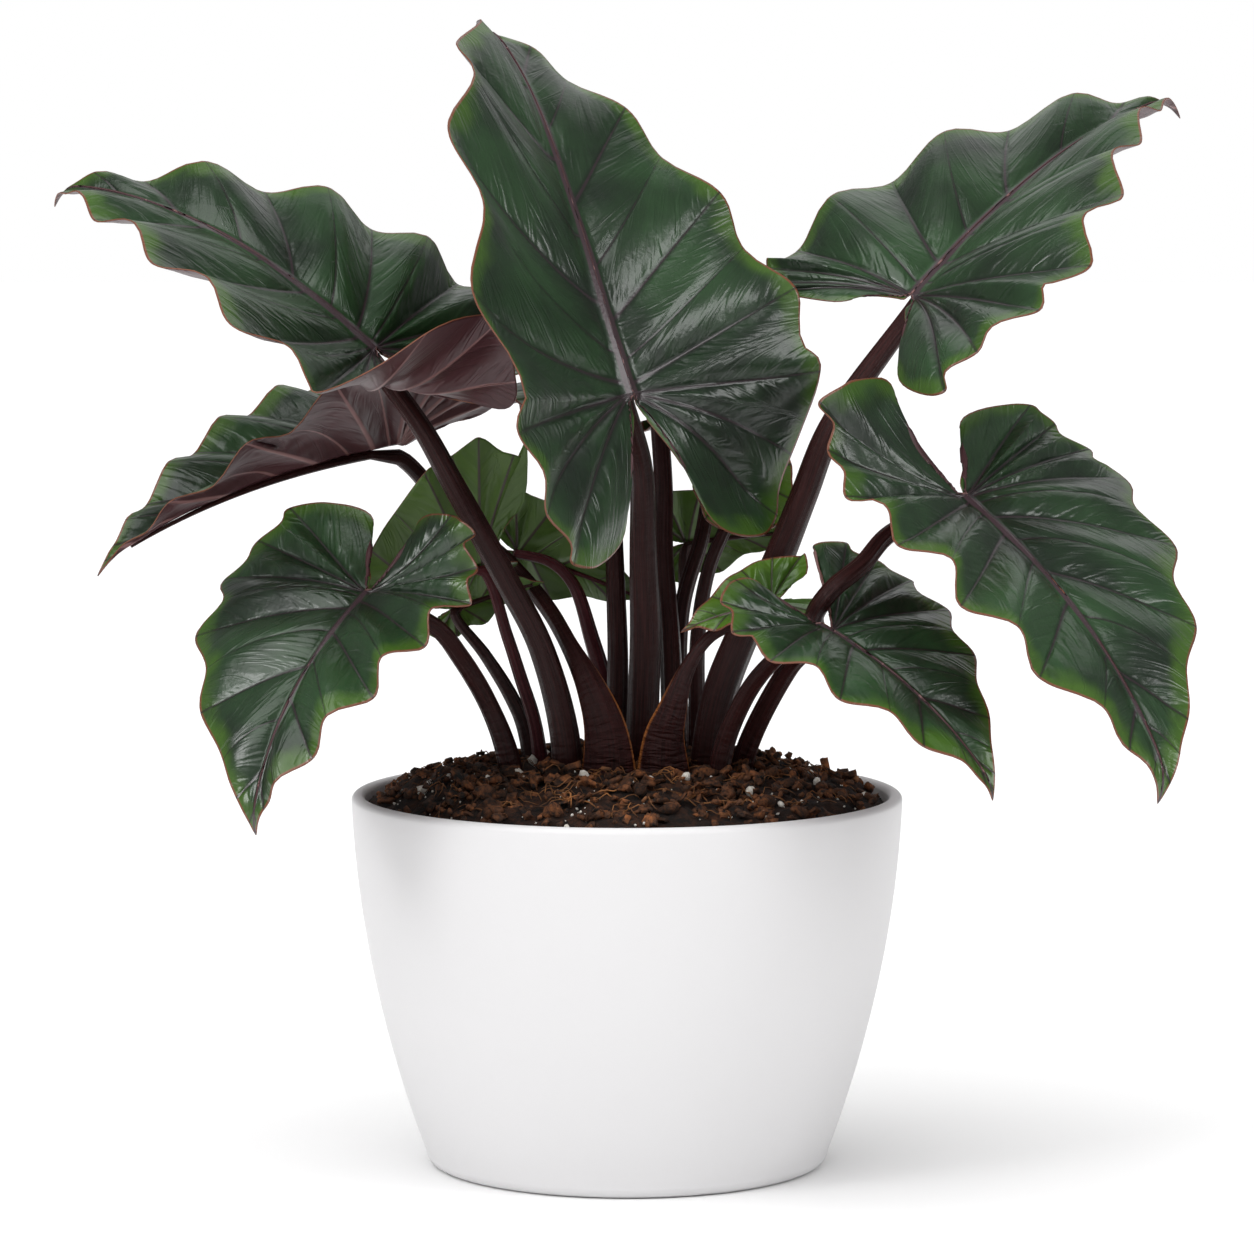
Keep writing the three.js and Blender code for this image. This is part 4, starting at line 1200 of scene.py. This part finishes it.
moulded_plastic, tree, shader = new_material("satin white moulded plastic")
shader.inputs["Base Color"].default_value = linear("#e2e1e2")
shader.inputs["Roughness"].default_value = 0.48
shader.inputs["IOR"].default_value = 1.46
place = add_node(tree, "ShaderNodeTexCoord").outputs["Object"]
grain = add_node(tree, "ShaderNodeTexNoise", {
    "Vector": place, "Scale": 1 / (MOULD_GRAIN * MM), "Detail": 2.0,
})
satin = add_node(tree, "ShaderNodeBump", {
    "Height": grain.outputs["Fac"], "Distance": 0.0001, "Strength": 0.12,
})
tree.links.new(satin.outputs[0], shader.inputs["Normal"])
print("Material:", moulded_plastic.name)

# %% Profile and spin of the pot
POT_HEIGHT = 163
POT_RIM_RADIUS = 120.7
POT_TAPER = 34.5
POT_TAPER_HEIGHT = 180
POT_WALL = 6
POT_FLOOR = 7
POT_FOOT_ROUND = 6
UNDERSIDE_RING = 0.6
FOOT_STEPS = 8
WALL_STEPS = 24
LIP_STEPS = 12
POT_TURNS = 160


def pot_radius(z):
    return POT_RIM_RADIUS - POT_TAPER * ((POT_TAPER_HEIGHT - z) / POT_TAPER_HEIGHT) ** 2


def pot_profile():
    foot = pot_radius(POT_FOOT_ROUND) - POT_FOOT_ROUND
    points = [(0, 0), (foot * UNDERSIDE_RING, 0)]
    for k in range(FOOT_STEPS + 1):
        turn = math.radians(90 * k / FOOT_STEPS)
        points.append((foot + POT_FOOT_ROUND * math.sin(turn), POT_FOOT_ROUND * (1 - math.cos(turn))))
    lip = POT_WALL / 2
    lip_height = POT_HEIGHT - lip
    shares = [k / WALL_STEPS for k in range(1, WALL_STEPS + 1)]
    outer_heights = [mix(POT_FOOT_ROUND, lip_height, share) for share in shares]
    points += [(pot_radius(z), z) for z in outer_heights]
    middle = pot_radius(lip_height) - lip
    for k in range(1, LIP_STEPS + 1):
        turn = math.radians(180 * k / LIP_STEPS)
        points.append((middle + lip * math.cos(turn), lip_height + lip * math.sin(turn)))
    inner_heights = [mix(lip_height, POT_FLOOR, share) for share in shares]
    points += [(pot_radius(z) - POT_WALL, z) for z in inner_heights]
    return [*points, (0, POT_FLOOR)]


def spin_profile(points, turns):
    bm = bmesh.new()
    verts = [bm.verts.new((r, 0, z)) for r, z in points]
    edges = [bm.edges.new(pair) for pair in zip(verts, verts[1:])]
    bmesh.ops.spin(bm, geom=verts + edges, axis=(0, 0, 1), cent=(0, 0, 0), angle=2 * math.pi,
                   steps=turns, use_merge=True)
    bmesh.ops.remove_doubles(bm, verts=bm.verts, dist=0.001)
    bmesh.ops.recalc_face_normals(bm, faces=bm.faces)
    return bm


finish_piece(spin_profile(pot_profile(), POT_TURNS), "white_pot", [moulded_plastic],
             ["pot"])

# %% [markdown]
# ## The potting mix
#
# The pot is filled with a mix of peat-like coir, bark chips and white perlite. From above it is a
# low crumbly mound. Its body is a spun disc whose top is raised by a formula and roughened with
# noise. Then crumbs lie on it: chips are small bevelled boxes, clumps of matted coir are spheres
# pushed in and out by noise, perlite grains are small dented spheres, and the fibres are thin
# bent tubes.

# %% Materials of the potting mix
DAMP_PATCH = 11


def crumb_material(name, dark, pale, spot, bump, roughness, dampest=0.3):
    """Spots between two colours on a rough skin, darker where a patch of the mix is damp."""
    material, tree, shader = new_material(name)
    place = add_node(tree, "ShaderNodeTexCoord").outputs["Object"]
    spots = add_node(tree, "ShaderNodeTexNoise", {
        "Vector": place, "Scale": 1 / (spot * MM), "Detail": 6.0, "Roughness": 0.7,
    })
    spread = add_node(tree, "ShaderNodeMapRange", {
        "Value": spots.outputs["Fac"], "From Min": 0.38, "From Max": 0.66,
    })
    tones = add_node(tree, "ShaderNodeMixRGB", {
        "Fac": spread.outputs[0], "Color1": linear(dark), "Color2": linear(pale),
    })
    patches = add_node(tree, "ShaderNodeTexNoise", {"Vector": place, "Scale": 1 / (DAMP_PATCH * MM)})
    damp = add_node(tree, "ShaderNodeMapRange", {
        "Value": patches.outputs["Fac"], "From Min": 0.4, "From Max": 0.6, "To Min": dampest,
    })
    tinted = add_node(tree, "ShaderNodeVectorMath", {
        0: tones.outputs[0], "Scale": damp.outputs[0],
    }, operation="SCALE")
    tree.links.new(tinted.outputs[0], shader.inputs["Base Color"])
    shader.inputs["Roughness"].default_value = roughness
    rough = add_node(tree, "ShaderNodeBump", {
        "Height": spots.outputs["Fac"], "Distance": bump * MM, "Strength": 0.8,
    })
    tree.links.new(rough.outputs[0], shader.inputs["Normal"])
    return material


coir_mix = crumb_material("moist coir and peat", "#060302", "#45240f", spot=3, bump=2, roughness=0.9)
bark = crumb_material("composted bark", "#070302", "#9a5c30", spot=4, bump=1.5, roughness=0.8)
dry_bark = crumb_material("dry pine bark", "#4c2814", "#a56d42", spot=6, bump=1, roughness=0.8)
clump_coir = crumb_material("matted coir", "#080302", "#8a5128", spot=2.5, bump=2, roughness=0.9)
fibre = crumb_material("coconut fibre", "#3a2010", "#b07440", spot=20, bump=0.3, roughness=0.75,
                       dampest=0.7)
perlite = crumb_material("expanded perlite", "#c9c2b6", "#f3f0ea", spot=2, bump=0.8, roughness=0.85,
                         dampest=1)
print("Materials:", ", ".join(m.name for m in (coir_mix, bark, dry_bark, clump_coir, fibre, perlite)))

# %% Mound of the mix
SOIL_EDGE = 157
SOIL_CROWN = 19
SOIL_SHOULDER = 3.5
# The shoulder grows from the middle over this share of the soil's radius, and it falls to the pot
# over the next share.
SHOULDER_GROWS = 0.5
SHOULDER_FALLS = 0.16
SOIL_RINGS = 70
SOIL_TURNS = 180
# The crumbs of the top are fractal noise: its height and width in millimetres, and then its fade,
# its lacunarity and its octaves.
CRUMB_HEIGHT = 2.6
CRUMB_WIDTH = 9
CRUMB_FRACTAL = (0.8, 2.1, 4)
CRUMB_SINK = 0.6
SIDE_GAP = 0.4
SIDE_HEIGHTS = (110, 60, POT_FLOOR + GAP)


def soil_top(x, y):
    """Height of the mound. Its rise and its wide lumps are the CAD source's own formula."""
    share = clamp(math.hypot(x, y) / (POT_RIM_RADIUS - POT_WALL))
    lumps = (1.5 * math.sin(0.19 * x + 1.3) * math.sin(0.17 * y + 0.4)
             + 1.1 * math.sin(0.33 * x - 0.21 * y) + 0.9 * math.sin(0.12 * x + 0.37 * y + 2))
    crumbs = CRUMB_HEIGHT * noise.fractal((x / CRUMB_WIDTH, y / CRUMB_WIDTH, 3), *CRUMB_FRACTAL)
    shoulder = SOIL_SHOULDER * smooth((1 - share) / SHOULDER_FALLS) * smooth(share / SHOULDER_GROWS)
    rise = SOIL_CROWN * (1 - share ** 2)
    return SOIL_EDGE + rise + shoulder + lumps * (1 - 0.5 * share) + crumbs - CRUMB_SINK


soil_radius = pot_radius(SOIL_EDGE) - POT_WALL - GAP
profile = [(soil_radius * k / SOIL_RINGS, SOIL_EDGE) for k in range(SOIL_RINGS + 1)]
profile += [(pot_radius(z) - POT_WALL - GAP - SIDE_GAP, z) for z in SIDE_HEIGHTS]
bm = spin_profile([*profile, (0, POT_FLOOR + GAP)], SOIL_TURNS)
for vert in bm.verts:
    if abs(vert.co.z - SOIL_EDGE) < 0.01:
        vert.co.z = soil_top(vert.co.x, vert.co.y)
finish_piece(bm, "potting_mix", [coir_mix], ["soil"])

# %% Places for the crumbs
FOOT_CLEARANCE = 1


def clear_of_foot(leaf, x, y):
    """Whether this place lies outside the oval of a stalk's foot and a little room round it."""
    radius = leaf["radii"][0]
    wing, _ = leaf.get("sheath", (radius, 0))
    foot_x, foot_y = leaf["foot"]
    wide = max(radius, wing) + FOOT_CLEARANCE
    return math.hypot((x - foot_x) / wide, (y - foot_y) / (radius + FOOT_CLEARANCE)) > 1


def free_place(reach):
    """A random place on the mound that no stalk stands on."""
    while True:
        x, y = draw.uniform(-reach, reach), draw.uniform(-reach, reach)
        if math.hypot(x, y) < reach and all(clear_of_foot(leaf, x, y) for leaf in PLANT):
            return Vector((x, y, soil_top(x, y)))


print("Crumbs keep clear of", len(PLANT), "stalks")

# %% Bark chips
DARK_CHIPS = 900
DARK_LONGEST = 8
DRY_CHIPS = 170
DRY_LONGEST = 5
CHIP_SHORTEST = 2
CHIP_THICKNESS = (1, 2.8)
CHIP_SLIMNESS = (0.3, 0.7)
CHIP_BEVEL = 0.25
CHIP_DENT = 0.16
CHIP_LIFT = 0.2
CHIP_HEAP = (0, 0, 0, 1.2, 2.4)
RIM_ROOM = 5
FULL_TURN = 6.3


def jitter(verts, amount):
    for vert in verts:
        vert.co += Vector(draw.uniform(-amount, amount) for _ in range(3))


def put(bm, verts, place, tilt):
    """Turns a crumb any way round, tilts it by up to so many radians and moves it to its place."""
    turn = Euler((draw.uniform(-tilt, tilt), draw.uniform(-tilt, tilt), draw.uniform(0, FULL_TURN)))
    matrix = Matrix.Translation(place) @ turn.to_matrix().to_4x4()
    bmesh.ops.transform(bm, matrix=matrix, verts=verts)


def make_chips(count, longest):
    bm = bmesh.new()
    for _ in range(count):
        long, thick = draw.uniform(CHIP_SHORTEST, longest), draw.uniform(*CHIP_THICKNESS)
        wide = long * draw.uniform(*CHIP_SLIMNESS)
        made = bmesh.ops.create_cube(bm, size=1)["verts"]
        bmesh.ops.scale(bm, vec=(long, wide, thick), verts=made)
        edges = list({edge for vert in made for edge in vert.link_edges})
        made = bmesh.ops.bevel(bm, geom=edges, offset=CHIP_BEVEL * thick, affect="EDGES",
                               segments=1, profile=0.5, material=-1)["verts"]
        jitter(made, CHIP_DENT * wide)
        heap = draw.choice(CHIP_HEAP)
        height = Vector((0, 0, CHIP_LIFT * thick + heap))
        put(bm, made, free_place(soil_radius - RIM_ROOM) + height, tilt=0.8)
    return bm


finish_piece(make_chips(DARK_CHIPS, DARK_LONGEST), "bark_chips", [bark])
finish_piece(make_chips(DRY_CHIPS, DRY_LONGEST), "dry_bark_chips", [dry_bark])

# %% Clumps of coir
CLUMPS = 170
CLUMP_RADII = (2, 5.5)
CLUMP_RIM_ROOM = 9
CLUMP_DEPTHS = (0.7, 1)
CLUMP_HEIGHTS = (0.5, 0.8)
CLUMP_LIFT = 0.25
CLUMP_LUMPS = 0.5
LUMPS_PER_MM = 0.35
CLUMP_FRACTAL = (0.7, 2.2, 4)

bm = bmesh.new()
for _ in range(CLUMPS):
    radius = draw.uniform(*CLUMP_RADII)
    made = bmesh.ops.create_icosphere(bm, subdivisions=2, radius=radius)["verts"]
    flat = (1, draw.uniform(*CLUMP_DEPTHS), draw.uniform(*CLUMP_HEIGHTS))
    bmesh.ops.scale(bm, vec=flat, verts=made)
    seed = Vector((draw.uniform(0, 99), 0, 0))
    for vert in made:
        vert.co *= 1 + CLUMP_LUMPS * noise.fractal(vert.co * LUMPS_PER_MM + seed, *CLUMP_FRACTAL)
    height = Vector((0, 0, CLUMP_LIFT * radius))
    put(bm, made, free_place(soil_radius - CLUMP_RIM_ROOM) + height, tilt=0.5)
finish_piece(bm, "coir_clumps", [clump_coir])

# %% Perlite grains
GRAINS = 420
GRAIN_RADII = [0.4] * 14 + [0.6] * 10 + [0.9] * 3 + [1.6, 2.2, 2.8]
GRAIN_RIM_ROOM = 6
GRAIN_DEPTHS = (0.7, 1)
GRAIN_HEIGHTS = (0.6, 0.9)
GRAIN_DENT = 0.16
GRAIN_LIFT = 0.6

bm = bmesh.new()
for _ in range(GRAINS):
    radius = draw.choice(GRAIN_RADII)
    fineness = 2 if radius > 1 else 1
    made = bmesh.ops.create_icosphere(bm, subdivisions=fineness, radius=radius)["verts"]
    flat = (1, draw.uniform(*GRAIN_DEPTHS), draw.uniform(*GRAIN_HEIGHTS))
    bmesh.ops.scale(bm, vec=flat, verts=made)
    jitter(made, GRAIN_DENT * radius)
    height = Vector((0, 0, GRAIN_LIFT * radius))
    put(bm, made, free_place(soil_radius - GRAIN_RIM_ROOM) + height, tilt=3)
finish_piece(bm, "perlite_grains", [perlite])

# %% Coconut fibres
FIBRES = 420
FIBRE_LENGTHS = (6, 20)
FIBRE_RADII = (0.18, 0.38)
FIBRE_BEND = 2.4
FIBRE_WOBBLE = 0.2
FIBRE_TIP = 0.5
FIBRE_PIECES = 7
FIBRE_SIDES = 3
FIBRE_RIM_ROOM = 14
FIBRE_ENDS_UP = 0.7
FIBRE_BOW = 1.6


def make_fibre(bm):
    here = free_place(soil_radius - FIBRE_RIM_ROOM)
    heading = draw.uniform(0, 2 * math.pi)
    length = draw.uniform(*FIBRE_LENGTHS)
    radius = draw.uniform(*FIBRE_RADII)
    bend = draw.uniform(-FIBRE_BEND, FIBRE_BEND)
    last = FIBRE_PIECES
    made = bmesh.ops.create_grid(bm, x_segments=FIBRE_SIDES, y_segments=last, size=0.5)["verts"]
    centres = []
    for k in range(last + 1):
        here.z = soil_top(here.x, here.y) + FIBRE_ENDS_UP + FIBRE_BOW * math.sin(math.pi * k / last)
        centres.append(here.copy())
        heading += bend / last + draw.uniform(-FIBRE_WOBBLE, FIBRE_WOBBLE)
        here += Vector((math.cos(heading), math.sin(heading), 0)) * (length / last)
    for vert in made:
        turn = 2 * math.pi * (vert.co.x + 0.5)
        k = round((vert.co.y + 0.5) * last)
        tangent = (centres[min(k + 1, last)] - centres[max(k - 1, 0)]).normalized()
        across = tangent.cross(Vector((0, 0, 1))).normalized()
        thin = radius * (FIBRE_TIP if k in (0, last) else 1)
        vert.co = centres[k] + (across * math.cos(turn) + tangent.cross(across) * math.sin(turn)) * thin


bm = bmesh.new()
for _ in range(FIBRES):
    make_fibre(bm)
bmesh.ops.remove_doubles(bm, verts=bm.verts, dist=0.002)
bmesh.ops.holes_fill(bm, edges=[edge for edge in bm.edges if edge.is_boundary], sides=0)
bmesh.ops.recalc_face_normals(bm, faces=bm.faces)
finish_piece(bm, "coir_fibres", [fibre])
